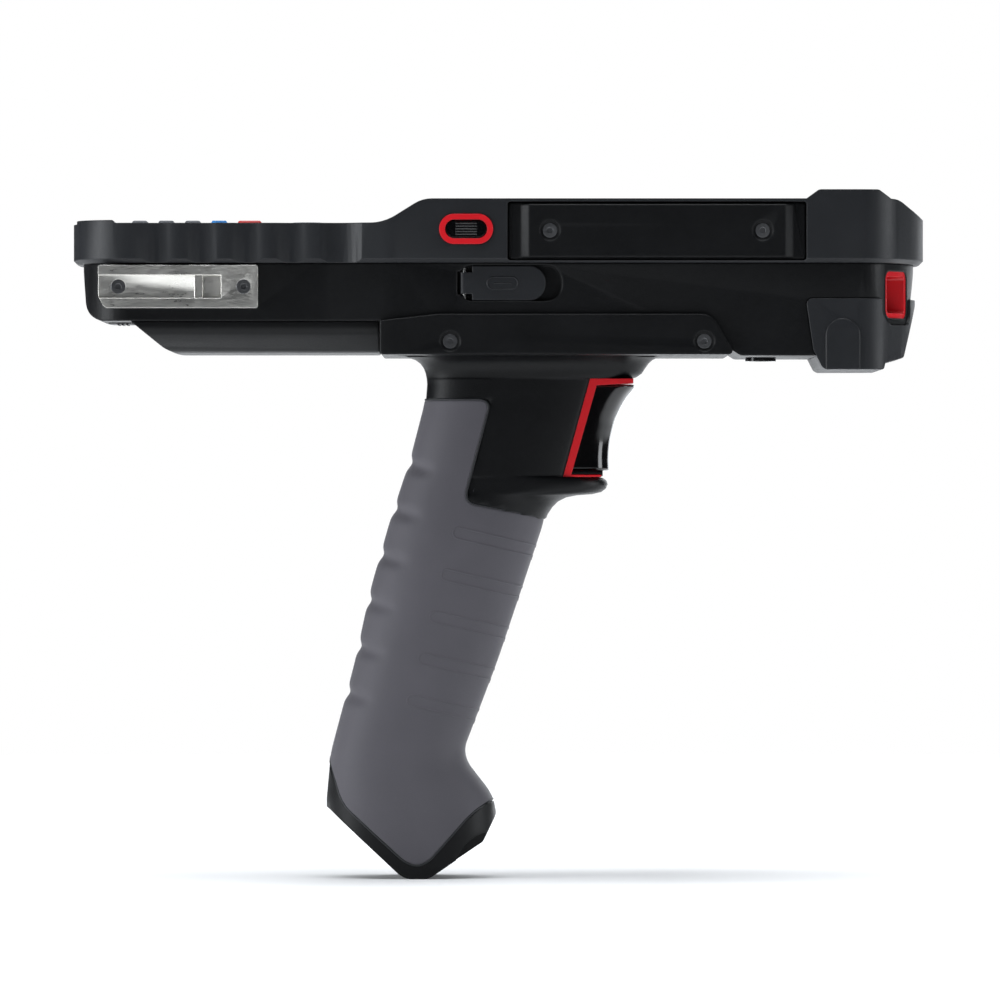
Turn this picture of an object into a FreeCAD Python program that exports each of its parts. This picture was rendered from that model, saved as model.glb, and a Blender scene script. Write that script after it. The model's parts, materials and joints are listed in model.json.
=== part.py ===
import FreeCAD, Part
import math
import os
from FreeCAD import Vector

# Rugged handheld mobile computer on a pistol-grip scan handle.
# Millimetres. +X towards the scan end, +Y the user's left side, +Z out of the display.
# The origin is under the middle of the whole object, at the lowest point of the grip cap.

# ---------------------------------------------------------------- overall sizes
LENGTH = 236.0              # over the bumper, end to end
HEAD_WIDTH = 81.3           # over the bumper at the display end
KEY_WIDTH = 74.0            # over the bumper at the keypad end
SEAM_Z = 170.2              # bumper's lower edge above the grip cap's lowest point
TAIL_X = -LENGTH / 2
NOSE_X = LENGTH / 2

# ---------------------------------------------------------------- plan outline
NOSE_BOW = 11.0             # how far the scan end's corners sit back from its middle
NOSE_FLAT_HALF = 16.0       # half width of the scan end's middle face
NOSE_CORNER_RADIUS = 12.0
NOSE_MIDDLE_RADIUS = 50.0
TAIL_BOW = 4.0
TAIL_FLAT_HALF = 12.0        # half width of the keypad end's middle face
TAIL_CORNER_RADIUS = 15.0
TAIL_MIDDLE_RADIUS = 70.0
WAIST_KEY_X = TAIL_X + 70.0     # where the outline starts to widen
WAIST_LENGTH = 18.0
WAIST_RADIUS = 22.0

# ---------------------------------------------------------------- front bumper
KEY_TOP_Z = SEAM_Z + 11.0       # bumper's top at the keypad
HEAD_TOP_Z = SEAM_Z + 17.6      # bumper's top round the display
RISE_X = TAIL_X + 86.5          # foot of the step up to the display
RISE_LENGTH = 10.6
RISE_FOOT_RADIUS = 13.0
RISE_HEAD_RADIUS = 9.0
BUMPER_WALL = 2.7
BUMPER_LIP = 1.2                # thickness of the rim that laps over the housing
BUMPER_CHAMFER = 1.1            # along its lower edge
CORNER_PAD_RISE = 2.5           # raised pads at the scan end's corners
CORNER_PAD_X = NOSE_X - 34.0
CORNER_PAD_LENGTH = 24.5
CORNER_PAD_RAMP = 4.0
CORNER_PAD_REACH = 15.0         # how far a pad comes in from the flank
TAIL_PAD_RISE = 0.8
TAIL_PAD_LENGTH = 12.0
TAIL_PAD_REACH = 16.0
SCALLOP_FIRST_X = TAIL_X + 24.1
SCALLOP_PITCH = 12.35
SCALLOP_COUNT = 5
SCALLOP_RADIUS = 9.0
SCALLOP_DEPTH = 1.1

# ---------------------------------------------------------------- housings
HOUSING_WALL = 1.8
TOP_PLATE = 1.4
HOUSING_INSET = 2.7             # rear housing's face behind the bumper's face
KEY_BOTTOM_Z = 154.3            # housing's underside at the keypad end
SADDLE_SEAT_Z = 148.5           # housing's underside where the handle clasps it
HEAD_BOTTOM_Z = 144.7           # housing's underside at the scan end
SEAL_HEIGHT = 0.5
SEAL_WIDTH = 1.0
SEAL_GAP = 0.4                  # seal groove's clearance from the inner wall

# ---------------------------------------------------------------- display
GLASS_LENGTH = 110.0
GLASS_WIDTH = 66.0
GLASS_THICK = 1.2
GLASS_CORNER = 4.0
GLASS_NOSE_GAP = 16.0           # from the scan end to the glass
GLASS_GAP = 0.15
DISPLAY_LENGTH = 95.0
DISPLAY_WIDTH = 54.0
DISPLAY_THICK = 2.8
DISPLAY_GAP = 0.3

# ---------------------------------------------------------------- keypad
KEY_FIRST_X = TAIL_X + 19.0
KEY_ROW_PITCH = 7.3
KEY_ROWS = 4
KEY_COLUMNS = 4
KEY_COLUMN_PITCH = 14.6
KEY_LENGTH = 4.7                # along the body
KEY_BREADTH = 10.4              # across the body
KEY_CORNER = 1.6
WIDE_KEY_X = TAIL_X + 49.3
WIDE_KEY_LENGTH = 6.9
SCAN_KEY_X = TAIL_X + 64.8
SCAN_KEY_LENGTH = 9.6
SCAN_KEY_BREADTH = 22.0
KEY_PROUD = 2.1                 # above the deck
KEY_HOLE_GAP = 0.25
KEY_FLANGE = 0.6
KEY_FLANGE_THICK = 0.7
KEY_TRAVEL = 0.8
KEY_REST_GAP = 0.1              # flange below the deck, and above the mat at full travel
KEY_DOME = 0.9
MAT_THICK = 1.2
MAT_MARGIN = 4.0
KEY_WINDOW_START = TAIL_X + 13.5
KEY_WINDOW_END = TAIL_X + 73.5
KEY_WINDOW_HALF = 29.0
KEY_WINDOW_CORNER = 8.0

# ---------------------------------------------------------------- main board
BOARD_THICK = 1.2
BOARD_HALF_WIDTH = 31.0
BOARD_TAIL_GAP = 12.0
BOARD_NOSE_GAP = 34.0
BOARD_MAT_GAP = 0.0

# ---------------------------------------------------------------- side button and its ring
BUTTON_X = -8.9
BUTTON_Z = SEAM_Z + 9.2
RING_LENGTH = 14.8
RING_HEIGHT = 8.3
RING_PROUD = 0.5
BUTTON_LENGTH = 11.1
BUTTON_HEIGHT = 4.7
BUTTON_GAP = 0.25
BUTTON_PROUD = 0.2
BUTTON_TRAVEL = 0.8
BUTTON_STEM_RADIUS = 1.2
BUTTON_STEM_GAP = 0.2
BUTTON_DEPTH = 1.3

# ---------------------------------------------------------------- side cover plate
COVER_START = NOSE_X - 115.4
COVER_LENGTH = 81.8
COVER_LOW_Z = SEAM_Z + 0.8
COVER_HEIGHT = 15.8
COVER_PROUD = 0.6
COVER_PANEL_INSET = 3.4         # the raised panel's ends from the plate's ends
COVER_PANEL_BEVEL = 2.4
COVER_BASE = 0.9                # thickness of the plate at its bevelled ends
COVER_SCREW_START = NOSE_X - 103.9
COVER_SCREW_SPACING = 58.4
COVER_SCREW_Z = SEAM_Z + 8.8
SCREW_HEAD_RADIUS = 2.0
SCREW_HEAD_DEPTH = 1.1
SCREW_RECESS_RADIUS = 2.8
SCREW_RECESS_DEPTH = 0.7
SCREW_SHANK_RADIUS = 0.9
SCREW_SHANK_LENGTH = 2.9
SCREW_GRIP = 0.3                # how far a cover screw reaches into the housing
COVER_SHANK_LENGTH = BUMPER_WALL + COVER_PROUD - SCREW_RECESS_DEPTH + SCREW_GRIP
SCREW_SOCKET_RADIUS = 0.85
SCREW_SOCKET_DEPTH = 0.7

# ---------------------------------------------------------------- port, flap and hinge pin
FLAP_X = -11.1
FLAP_LENGTH = 24.0
FLAP_HEIGHT = 9.4
FLAP_TOP_Z = SEAM_Z - 0.9
FLAP_THICK = 1.6
FLAP_GAP = 0.25
FLAP_RECESS_END = 4.3           # finger recess beyond the flap's free end
FLAP_RECESS_DEPTH = 1.9
FLAP_PIN_RADIUS = 0.6
FLAP_PIN_FIT = 0.05
FLAP_BARREL_RADIUS = 1.25
FLAP_BARREL_HEIGHT = 6.0
FLAP_EAR = 2.2                  # the flap's corners start this far past its pin
PORT_X = 2.3
PORT_LENGTH = 9.2
PORT_HEIGHT = 3.4
PORT_DEPTH = 8.0
PORT_WALL = 0.5

# ---------------------------------------------------------------- dock rail
RAIL_START = TAIL_X + 7.9
RAIL_LENGTH = 43.9
RAIL_TOP_Z = SEAM_Z - 0.6
RAIL_HEIGHT = 11.8
RAIL_THICK = 2.6
RAIL_BAR = 2.7                  # height of the top and bottom bars
RAIL_CHANNEL_DEPTH = 1.5
RAIL_CHANNEL_START = 1.0
RAIL_CHANNEL_LENGTH = 33.8
RAIL_STEP_X = 26.5
RAIL_STEP_LENGTH = 2.2
RAIL_STEP_RISE = 0.7
RAIL_POCKET_DEPTH = 0.5
RAIL_SCREW_A = 5.5
RAIL_SCREW_B = 40.0
RAIL_SINK = 0.6                 # depth of the rail's seat in the housing

# ---------------------------------------------------------------- battery
BATTERY_TAIL_GAP = 16.6         # from the keypad end to the pack's foot
BATTERY_BULGE = 8.7
BATTERY_SIDE_INSET = 5.5
BATTERY_GAP = 0.35
CELL_INSET = 7.0
CELL_HEIGHT = 11.5
CELL_HALF_WIDTH = 25.0
BAY_WALL = 1.2
BATTERY_TRAVEL = 14.0
LATCH_LENGTH = 5.0
LATCH_WIDTH = 16.0
LATCH_HEIGHT = 2.2
LATCH_PROUD = 0.3
LATCH_SETBACK = 0.6             # from the pack's foot at rest
LATCH_TRAVEL = 1.6
LATCH_GAP = 0.35

# ---------------------------------------------------------------- scan end
BOOT_TOP_Z = SEAM_Z - 9.8
BOOT_START = NOSE_X - 33.6
BOOT_INSET = 2.2
BOOT_WALL = 1.6
BOOT_BOTTOM = 3.8               # below the housing's underside
BOOT_HEEL_LENGTH = 21.6
BOOT_TONGUE_X = NOSE_X - 23.4
BOOT_TONGUE_HALF = 4.6
BOOT_TONGUE_TOP = SEAM_Z - 15.4
BOOT_TONGUE_PROUD = 0.45
WINDOW_Y = -26.5
WINDOW_WIDTH = 14.0
WINDOW_HEIGHT = 12.9
WINDOW_TOP_Z = SEAM_Z - 2.2
WINDOW_CORNER = 2.4
WINDOW_FRAME = 1.4
WINDOW_DEPTH = 6.0
WINDOW_GLASS_THICK = 1.0
WINDOW_NOTCH_MARGIN = HOUSING_WALL + 0.1
ENGINE_LENGTH = 12.0
ENGINE_GAP = 0.8
CAMERA_X = NOSE_X - 45.0
CAMERA_RADIUS = 4.3
CAMERA_PROUD = 1.1
CAMERA_DEPTH = 6.0

# ---------------------------------------------------------------- handle
SADDLE_START = -32.6
SADDLE_END = 66.5
SADDLE_TOP_Z = 156.1
SADDLE_REAR_TOP_Z = 154.3
SADDLE_BOTTOM_Z = 145.0
SADDLE_WALL = 2.0
SADDLE_SLOPE = 8.0              # run of the sloped front end
SADDLE_SCREW_REAR_X = -13.3
SADDLE_SCREW_FRONT_X = 56.5
SADDLE_SCREW_Z = 148.6
NECK_HALF = 15.0
SHELL_WALL = 2.4
SLEEVE_THICK = 2.2
SLEEVE_GROOVE = 0.35
GRIP_POINTS = 28                # points of one section's curve
GRIP_POWER = 2.5                # superellipse power of a section
GRIP_TOP_Z = 133.0
GRIP_HOLLOW_LOW_Z = 24.0
# height, back x, front x, half width
GRIP_STATIONS = [
    (-2.0, -48.0, 0.5, 17.6), (22.0, -47.9, -1.0, 18.2), (34.0, -46.8, -10.4, 17.4), (60.0, -39.9, -0.5, 16.4),
    (80.0, -35.6, 6.2, 16.0), (100.0, -29.9, 12.8, 15.8), (116.0, -24.6, 14.0, 15.4), (GRIP_TOP_Z, -20.2, 14.0, 15.0)]
CAP_THICK = 3.2
EYE_X = -8.4                    # lanyard bar across a pocket in the cap's front corner
EYE_Z = 12.4
EYE_WALL = 1.6
EYE_BAR_RADIUS = 1.3
EYE_POCKET_RADIUS = 4.6
EYE_POCKET_HALF = 5.0           # half of the pocket's width between its side walls
SCOOP_X = -0.9                  # round scoop outside each of the pocket's side walls
SCOOP_Z = 1.5
SCOOP_RADIUS = 11.5
SCOOP_INNER = 11.0              # half of what is left standing between the two scoops
CAP_REACH = 30.0                # wider than the cap on either side

# ---------------------------------------------------------------- trigger
TRIGGER_FLOOR_Z = 112.0         # trigger space, bottom and top
TRIGGER_ROOF_Z = 138.7
TRIGGER_PIN_X = 21.4
TRIGGER_PIN_Z = 133.2
TRIGGER_PIN_RADIUS = 1.25
TRIGGER_PIN_FIT = 0.05
TRIGGER_HUB_RADIUS = 2.6
TRIGGER_HALF = 9.6
TRIGGER_ROOM_HALF = TRIGGER_HALF + 0.5
BEZEL_STRIP = 1.85
BEZEL_FOOT = 0.6
BEZEL_HALF = 12.6
BEZEL_LOW_X = 17.9              # back of the bezel at its foot and at its top
BEZEL_HIGH_X = 25.4
SPRING_RADIUS = 1.8
SPRING_WIRE = 0.3
SPRING_TURNS = 4
SPRING_GAP_HALF = 2.2
SPRING_LEG = 8.0
SWITCH_X = 14.6
SWITCH_Z = 119.0
SWITCH_LENGTH = 4.2
SWITCH_HEIGHT = 5.0
SWITCH_HALF = 3.0
SWITCH_PLUNGER = 1.2
CONTACT_X = 20.0

parts = {}


# ---------------------------------------------------------------- shape helpers
def corner_arc(before, corner, after, radius):
    """Start, middle and end of the arc that rounds one corner."""
    to_before = (before - corner).normalize()
    to_after = (after - corner).normalize()
    half_angle = to_before.getAngle(to_after) / 2
    reach = radius / math.tan(half_angle)
    bisector = (to_before + to_after).normalize()
    centre = corner + bisector * (radius / math.sin(half_angle))
    return corner + to_before * reach, centre - bisector * radius, corner + to_after * reach


def rounded_wire(corners, place):
    """Closed wire through (u, v, radius) corners, set in space by place(u, v)."""
    points = [place(u, v) for u, v, radius in corners]
    ends = []
    arcs = []
    for index, (u, v, radius) in enumerate(corners):
        before = points[index - 1]
        after = points[(index + 1) % len(points)]
        if radius > 0:
            start, middle, end = corner_arc(before, points[index], after, radius)
            ends.append((start, end))
            arcs.append(Part.Arc(start, middle, end).toShape())
        else:
            ends.append((points[index], points[index]))
            arcs.append(None)
    edges = []
    for index, arc in enumerate(arcs):
        if arc:
            edges.append(arc)
        start = ends[index][1]
        end = ends[(index + 1) % len(ends)][0]
        if (end - start).Length > 1e-6:
            edges.append(Part.makeLine(start, end))
    return Part.Wire(edges)


def side_prism(corners, y_low, y_high):
    """Solid with an (x, z, radius) outline, from y_low to y_high."""
    wire = rounded_wire(corners, lambda u, v: Vector(u, y_low, v))
    return Part.Face(wire).extrude(Vector(0, y_high - y_low, 0))


def plan_prism(corners, z_low, z_high):
    """Solid with an (x, y, radius) outline, from z_low to z_high."""
    wire = rounded_wire(corners, lambda u, v: Vector(u, v, z_low))
    return Part.Face(wire).extrude(Vector(0, 0, z_high - z_low))


def end_prism(corners, x_low, x_high):
    """Solid with a (y, z, radius) outline, from x_low to x_high."""
    wire = rounded_wire(corners, lambda u, v: Vector(x_low, u, v))
    return Part.Face(wire).extrude(Vector(x_high - x_low, 0, 0))


def rectangle(u_middle, v_middle, u_size, v_size, radius):
    """Corners of a rounded rectangle."""
    u_half = u_size / 2
    v_half = v_size / 2
    return [(u_middle - u_half, v_middle - v_half, radius), (u_middle + u_half, v_middle - v_half, radius),
            (u_middle + u_half, v_middle + v_half, radius), (u_middle - u_half, v_middle + v_half, radius)]


def box(x_low, x_high, y_low, y_high, z_low, z_high):
    """Plain block between two corners."""
    return Part.makeBox(x_high - x_low, y_high - y_low, z_high - z_low, Vector(x_low, y_low, z_low))


def round_bar(start, axis, radius, length):
    """Cylinder from start along axis."""
    return Part.makeCylinder(radius, length, start, axis)


def mirrored(shape):
    """The same shape on the other flank."""
    return shape.mirror(Vector(0, 0, 0), Vector(0, 1, 0))


def joined(shapes):
    """One solid out of several."""
    return shapes[0].multiFuse(shapes[1:]).removeSplitter()


# ---------------------------------------------------------------- body envelopes
def plan_corners(inset):
    """Body outline seen from above, set in by inset all round."""
    key_half = KEY_WIDTH / 2 - inset
    head_half = HEAD_WIDTH / 2 - inset
    nose = NOSE_X - inset
    tail = TAIL_X + inset
    upper = [
        (nose, NOSE_FLAT_HALF, NOSE_MIDDLE_RADIUS),
        (nose - NOSE_BOW, head_half, NOSE_CORNER_RADIUS - inset),
        (WAIST_KEY_X + WAIST_LENGTH, head_half, WAIST_RADIUS + inset),
        (WAIST_KEY_X, key_half, WAIST_RADIUS - inset),
        (tail + TAIL_BOW, key_half, TAIL_CORNER_RADIUS - inset),
        (tail, TAIL_FLAT_HALF, TAIL_MIDDLE_RADIUS)]
    lower = [(x, -y, radius) for x, y, radius in reversed(upper)]
    return upper + lower


def top_profile(drop, margin):
    """Side view of everything under the bumper's top, lowered by drop."""
    return [
        (TAIL_X - margin, SEAM_Z - margin, 0),
        (NOSE_X + margin, SEAM_Z - margin, 0),
        (NOSE_X + margin, HEAD_TOP_Z - 6.0 - drop, 0),
        (NOSE_X - 0.6, HEAD_TOP_Z - 5.0 - drop, 3.0),
        (NOSE_X - 8.0, HEAD_TOP_Z - drop, 6.0),
        (RISE_X + RISE_LENGTH, HEAD_TOP_Z - drop, RISE_HEAD_RADIUS - drop),
        (RISE_X, KEY_TOP_Z - drop, RISE_FOOT_RADIUS + drop),
        (TAIL_X - margin, KEY_TOP_Z - drop, 0)]


def envelope(inset, drop):
    """The body above the seam, set in by inset and lowered by drop."""
    outline = plan_prism(plan_corners(inset), SEAM_Z, HEAD_TOP_Z + CORNER_PAD_RISE)
    return outline.common(side_prism(top_profile(drop, 2.0), -HEAD_WIDTH, HEAD_WIDTH))


def rear_profile(inset):
    """Side view of the rear housing, set in by inset at its ends and underside."""
    return [
        (TAIL_X + HOUSING_INSET + inset, SEAM_Z, 0),
        (TAIL_X + HOUSING_INSET + 1.6 + inset, KEY_BOTTOM_Z + inset, 6.0 - inset),
        (SADDLE_START + 3.0 + inset, KEY_BOTTOM_Z + inset, 2.0 + inset),
        (SADDLE_START + 9.0 + inset, SADDLE_SEAT_Z + inset, 3.0 - inset),
        (SADDLE_END - SADDLE_WALL - SADDLE_SLOPE / 2 + inset, SADDLE_SEAT_Z + inset, 1.5),
        (SADDLE_END + inset, HEAD_BOTTOM_Z + inset, 2.0 - inset),
        (NOSE_X - 6.0 - inset, HEAD_BOTTOM_Z + inset, 5.0 - inset),
        (NOSE_X - HOUSING_INSET + 0.2 - inset, SEAM_Z, 0)]


def rear_envelope(inset):
    """The body below the seam, set in by inset from the rear housing's face."""
    outline = plan_prism(plan_corners(HOUSING_INSET + inset), HEAD_BOTTOM_Z - 1.0, SEAM_Z)
    return outline.common(side_prism(rear_profile(inset), -HEAD_WIDTH, HEAD_WIDTH))


HEAD_FLANK = HEAD_WIDTH / 2
REAR_FLANK = HEAD_FLANK - HOUSING_INSET
KEY_REAR_FLANK = KEY_WIDTH / 2 - HOUSING_INSET
DECK_Z = KEY_TOP_Z - BUMPER_LIP
HEAD_DECK_Z = HEAD_TOP_Z - BUMPER_LIP
GLASS_X = NOSE_X - GLASS_NOSE_GAP - GLASS_LENGTH / 2
MAT_TOP_Z = DECK_Z - TOP_PLATE - KEY_REST_GAP - KEY_FLANGE_THICK - KEY_TRAVEL - KEY_REST_GAP
BOARD_TOP_Z = MAT_TOP_Z - MAT_THICK - BOARD_MAT_GAP


# ---------------------------------------------------------------- key layout
def key_layout():
    """Name, x, y, length and breadth of every key."""
    keys = []
    for column in range(KEY_COLUMNS):
        y = (column - (KEY_COLUMNS - 1) / 2) * KEY_COLUMN_PITCH
        for row in range(KEY_ROWS):
            x = KEY_FIRST_X + row * KEY_ROW_PITCH
            keys.append((f"key_{column + 1}_{row + 1}", x, y, KEY_LENGTH, KEY_BREADTH, KEY_CORNER))
        keys.append((f"key_{column + 1}_{KEY_ROWS + 1}", WIDE_KEY_X, y, WIDE_KEY_LENGTH, KEY_BREADTH, KEY_CORNER))
    keys.append(("scan_key", SCAN_KEY_X, 0, SCAN_KEY_LENGTH, SCAN_KEY_BREADTH, SCAN_KEY_LENGTH / 2 - 0.1))
    return keys


def key_solid(x, y, length, breadth, corner):
    """Keycap with a bevelled crown, and the flange that keeps it under the deck."""
    top = DECK_Z + KEY_PROUD
    flange_top = DECK_Z - TOP_PLATE - KEY_REST_GAP
    post = plan_prism(rectangle(x, y, length, breadth, corner), flange_top - KEY_FLANGE_THICK, top - KEY_DOME)
    lower = rounded_wire(rectangle(x, y, length, breadth, corner), lambda u, v: Vector(u, v, top - KEY_DOME))
    upper = rounded_wire(rectangle(x, y, length - KEY_DOME, breadth - KEY_DOME, corner - KEY_DOME / 2),
                         lambda u, v: Vector(u, v, top))
    crown = Part.makeLoft([lower, upper], True, True)
    flange = plan_prism(rectangle(x, y, length + 2 * KEY_FLANGE, breadth + 2 * KEY_FLANGE, corner),
                        flange_top - KEY_FLANGE_THICK, flange_top)
    return joined([post, crown, flange])


def make_keys():
    """Every key, and the soft mat that they press."""
    for name, x, y, length, breadth, corner in key_layout():
        parts[name] = key_solid(x, y, length, breadth, corner)
    mat_start = KEY_WINDOW_START - MAT_MARGIN / 2
    mat_end = KEY_WINDOW_END + MAT_MARGIN / 2
    mat = rectangle((mat_start + mat_end) / 2, 0, mat_end - mat_start, 2 * KEY_WINDOW_HALF, KEY_CORNER)
    parts["keypad_mat"] = plan_prism(mat, MAT_TOP_Z - MAT_THICK, MAT_TOP_Z)


# ---------------------------------------------------------------- screws
def flank_screw(x, z, face_y, length):
    """Countersunk screw whose head lies at face_y and points into the -Y flank."""
    inward = Vector(0, 1, 0)
    head = Part.makeCone(SCREW_HEAD_RADIUS, SCREW_SHANK_RADIUS, SCREW_HEAD_DEPTH, Vector(x, face_y, z), inward)
    shank = round_bar(Vector(x, face_y, z), inward, SCREW_SHANK_RADIUS, length)
    socket = round_bar(Vector(x, face_y, z), inward, SCREW_SOCKET_RADIUS, SCREW_SOCKET_DEPTH)
    return joined([head, shank]).cut(socket)


def flank_screw_seat(x, z, face_y, outer_y, length):
    """What a screw needs removed: its recess from outer_y in, its countersink and its hole."""
    inward = Vector(0, 1, 0)
    recess = round_bar(Vector(x, outer_y - 1.0, z), inward, SCREW_RECESS_RADIUS, face_y - outer_y + 1.0)
    head = Part.makeCone(SCREW_HEAD_RADIUS, SCREW_SHANK_RADIUS, SCREW_HEAD_DEPTH, Vector(x, face_y, z), inward)
    shank = round_bar(Vector(x, face_y, z), inward, SCREW_SHANK_RADIUS, length)
    return joined([recess, head, shank])


COVER_FACE_Y = -(HEAD_FLANK + COVER_PROUD)
COVER_SCREW_FACE_Y = COVER_FACE_Y + SCREW_RECESS_DEPTH
COVER_SCREWS = [(COVER_SCREW_START + step * COVER_SCREW_SPACING, COVER_SCREW_Z) for step in range(2)]
RAIL_FACE_Y = -(KEY_REAR_FLANK - RAIL_SINK + RAIL_THICK)
RAIL_SCREWS = [
    (RAIL_START + RAIL_SCREW_A, RAIL_FACE_Y + RAIL_CHANNEL_DEPTH),
    (RAIL_START + RAIL_SCREW_B, RAIL_FACE_Y)]
RAIL_MIDDLE_Z = RAIL_TOP_Z - RAIL_HEIGHT / 2
SADDLE_FACE_Y = -(REAR_FLANK + SADDLE_WALL)
SADDLE_SCREW_FACE_Y = SADDLE_FACE_Y + SCREW_RECESS_DEPTH
SADDLE_SCREWS = [SADDLE_SCREW_REAR_X, SADDLE_SCREW_FRONT_X]


def cover_screw_seats():
    """Seats of the -Y cover plate's two screws."""
    return [flank_screw_seat(x, z, COVER_SCREW_FACE_Y, COVER_FACE_Y, COVER_SHANK_LENGTH)
            for x, z in COVER_SCREWS]


def rail_screw_seats():
    """Seats of the -Y rail's two screws, flush with the metal round them."""
    return [flank_screw_seat(x, RAIL_MIDDLE_Z, face, face, SCREW_SHANK_LENGTH) for x, face in RAIL_SCREWS]


def saddle_screw_seats():
    """Seats of the -Y saddle's two screws."""
    return [flank_screw_seat(x, SADDLE_SCREW_Z, SADDLE_SCREW_FACE_Y, SADDLE_FACE_Y, SCREW_SHANK_LENGTH)
            for x in SADDLE_SCREWS]


def make_screws():
    """Each kind of screw on both flanks is one group of separate solids."""
    cover = [flank_screw(x, z, COVER_SCREW_FACE_Y, COVER_SHANK_LENGTH) for x, z in COVER_SCREWS]
    rail = [flank_screw(x, RAIL_MIDDLE_Z, face, SCREW_SHANK_LENGTH) for x, face in RAIL_SCREWS]
    saddle = [flank_screw(x, SADDLE_SCREW_Z, SADDLE_SCREW_FACE_Y, SCREW_SHANK_LENGTH) for x in SADDLE_SCREWS]
    for name, group in (("cover_screws", cover), ("rail_screws", rail), ("saddle_screws", saddle)):
        parts[name] = Part.makeCompound(group + [mirrored(screw) for screw in group])


# ---------------------------------------------------------------- side pieces, made for the -Y flank
def cover_corners(margin):
    """Outline of the cover plate in the flank."""
    return rectangle(COVER_START + COVER_LENGTH / 2, COVER_LOW_Z + COVER_HEIGHT / 2,
                     COVER_LENGTH + 2 * margin, COVER_HEIGHT + 2 * margin, 0.8)


def make_side_cover():
    """Plate let into the bumper, with a raised panel whose ends are bevelled."""
    seat_y = -(HEAD_FLANK - BUMPER_WALL)
    base_y = COVER_FACE_Y + COVER_PROUD + COVER_BASE
    base = side_prism(cover_corners(-0.15), base_y, seat_y)
    start = COVER_START + COVER_PANEL_INSET
    end = COVER_START + COVER_LENGTH - COVER_PANEL_INSET
    panel = plan_prism([(start, base_y, 0), (start + COVER_PANEL_BEVEL, COVER_FACE_Y, 0.5),
                        (end - COVER_PANEL_BEVEL, COVER_FACE_Y, 0.5), (end, base_y, 0)],
                       COVER_LOW_Z + 0.6, COVER_LOW_Z + COVER_HEIGHT - 0.6)
    plate = joined([base, panel])
    for seat in cover_screw_seats():
        plate = plate.cut(seat)
    parts["side_cover_right"] = plate
    parts["side_cover_left"] = mirrored(plate)


def oval(length, height):
    """Outline of the side button's ovals."""
    return rectangle(BUTTON_X, BUTTON_Z, length, height, height / 2 - 0.02)


def make_side_button():
    """Oval button with a stem that reaches through the housing wall, and its ring."""
    face_y = -(HEAD_FLANK + BUTTON_PROUD)
    ring_face_y = -(HEAD_FLANK + RING_PROUD)
    seat_y = -(HEAD_FLANK - BUMPER_WALL)
    ring = side_prism(oval(RING_LENGTH, RING_HEIGHT), ring_face_y, seat_y)
    hole = side_prism(oval(BUTTON_LENGTH + 2 * BUTTON_GAP, BUTTON_HEIGHT + 2 * BUTTON_GAP), ring_face_y, seat_y)
    cap = side_prism(oval(BUTTON_LENGTH, BUTTON_HEIGHT), face_y, face_y + BUTTON_DEPTH)
    stem = round_bar(Vector(BUTTON_X, face_y, BUTTON_Z), Vector(0, 1, 0), BUTTON_STEM_RADIUS,
                     -face_y - (HEAD_FLANK - BUMPER_WALL - HOUSING_WALL - 1.0))
    parts["side_button_ring_right"] = ring.cut(hole)
    parts["side_button_ring_left"] = mirrored(parts["side_button_ring_right"])
    parts["side_button_right"] = joined([cap, stem])
    parts["side_button_left"] = mirrored(parts["side_button_right"])


def make_dock_rail():
    """Cast rail: two bars along a channel that is open at its end, a step, a pocket and a plate."""
    back_y = -(KEY_REAR_FLANK - RAIL_SINK)
    low_z = RAIL_TOP_Z - RAIL_HEIGHT
    end = RAIL_START + RAIL_LENGTH
    body = side_prism([(RAIL_START + 1.8, low_z, 1.6), (end, low_z, 0.6), (end, RAIL_TOP_Z, 0.6),
                       (RAIL_START, RAIL_TOP_Z, 0.6), (RAIL_START, low_z + 3.2, 1.2)], RAIL_FACE_Y, back_y)
    floor_y = RAIL_FACE_Y + RAIL_CHANNEL_DEPTH
    channel_end = RAIL_START + RAIL_CHANNEL_LENGTH
    channel = box(RAIL_START - 1.0, channel_end, RAIL_FACE_Y - 1.0, floor_y, low_z + RAIL_BAR, RAIL_TOP_Z - RAIL_BAR)
    step_x = RAIL_START + RAIL_STEP_X
    step = box(step_x, step_x + RAIL_STEP_LENGTH, floor_y - RAIL_STEP_RISE, floor_y,
               low_z + RAIL_BAR, RAIL_TOP_Z - RAIL_BAR)
    pocket = box(step_x + RAIL_STEP_LENGTH, channel_end, floor_y, floor_y + RAIL_POCKET_DEPTH,
                 low_z + RAIL_BAR, RAIL_TOP_Z - RAIL_BAR)
    rail = joined([body.cut(channel).cut(pocket), step])
    for seat in rail_screw_seats():
        rail = rail.cut(seat)
    parts["dock_rail_right"] = rail
    parts["dock_rail_left"] = mirrored(rail)


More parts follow.
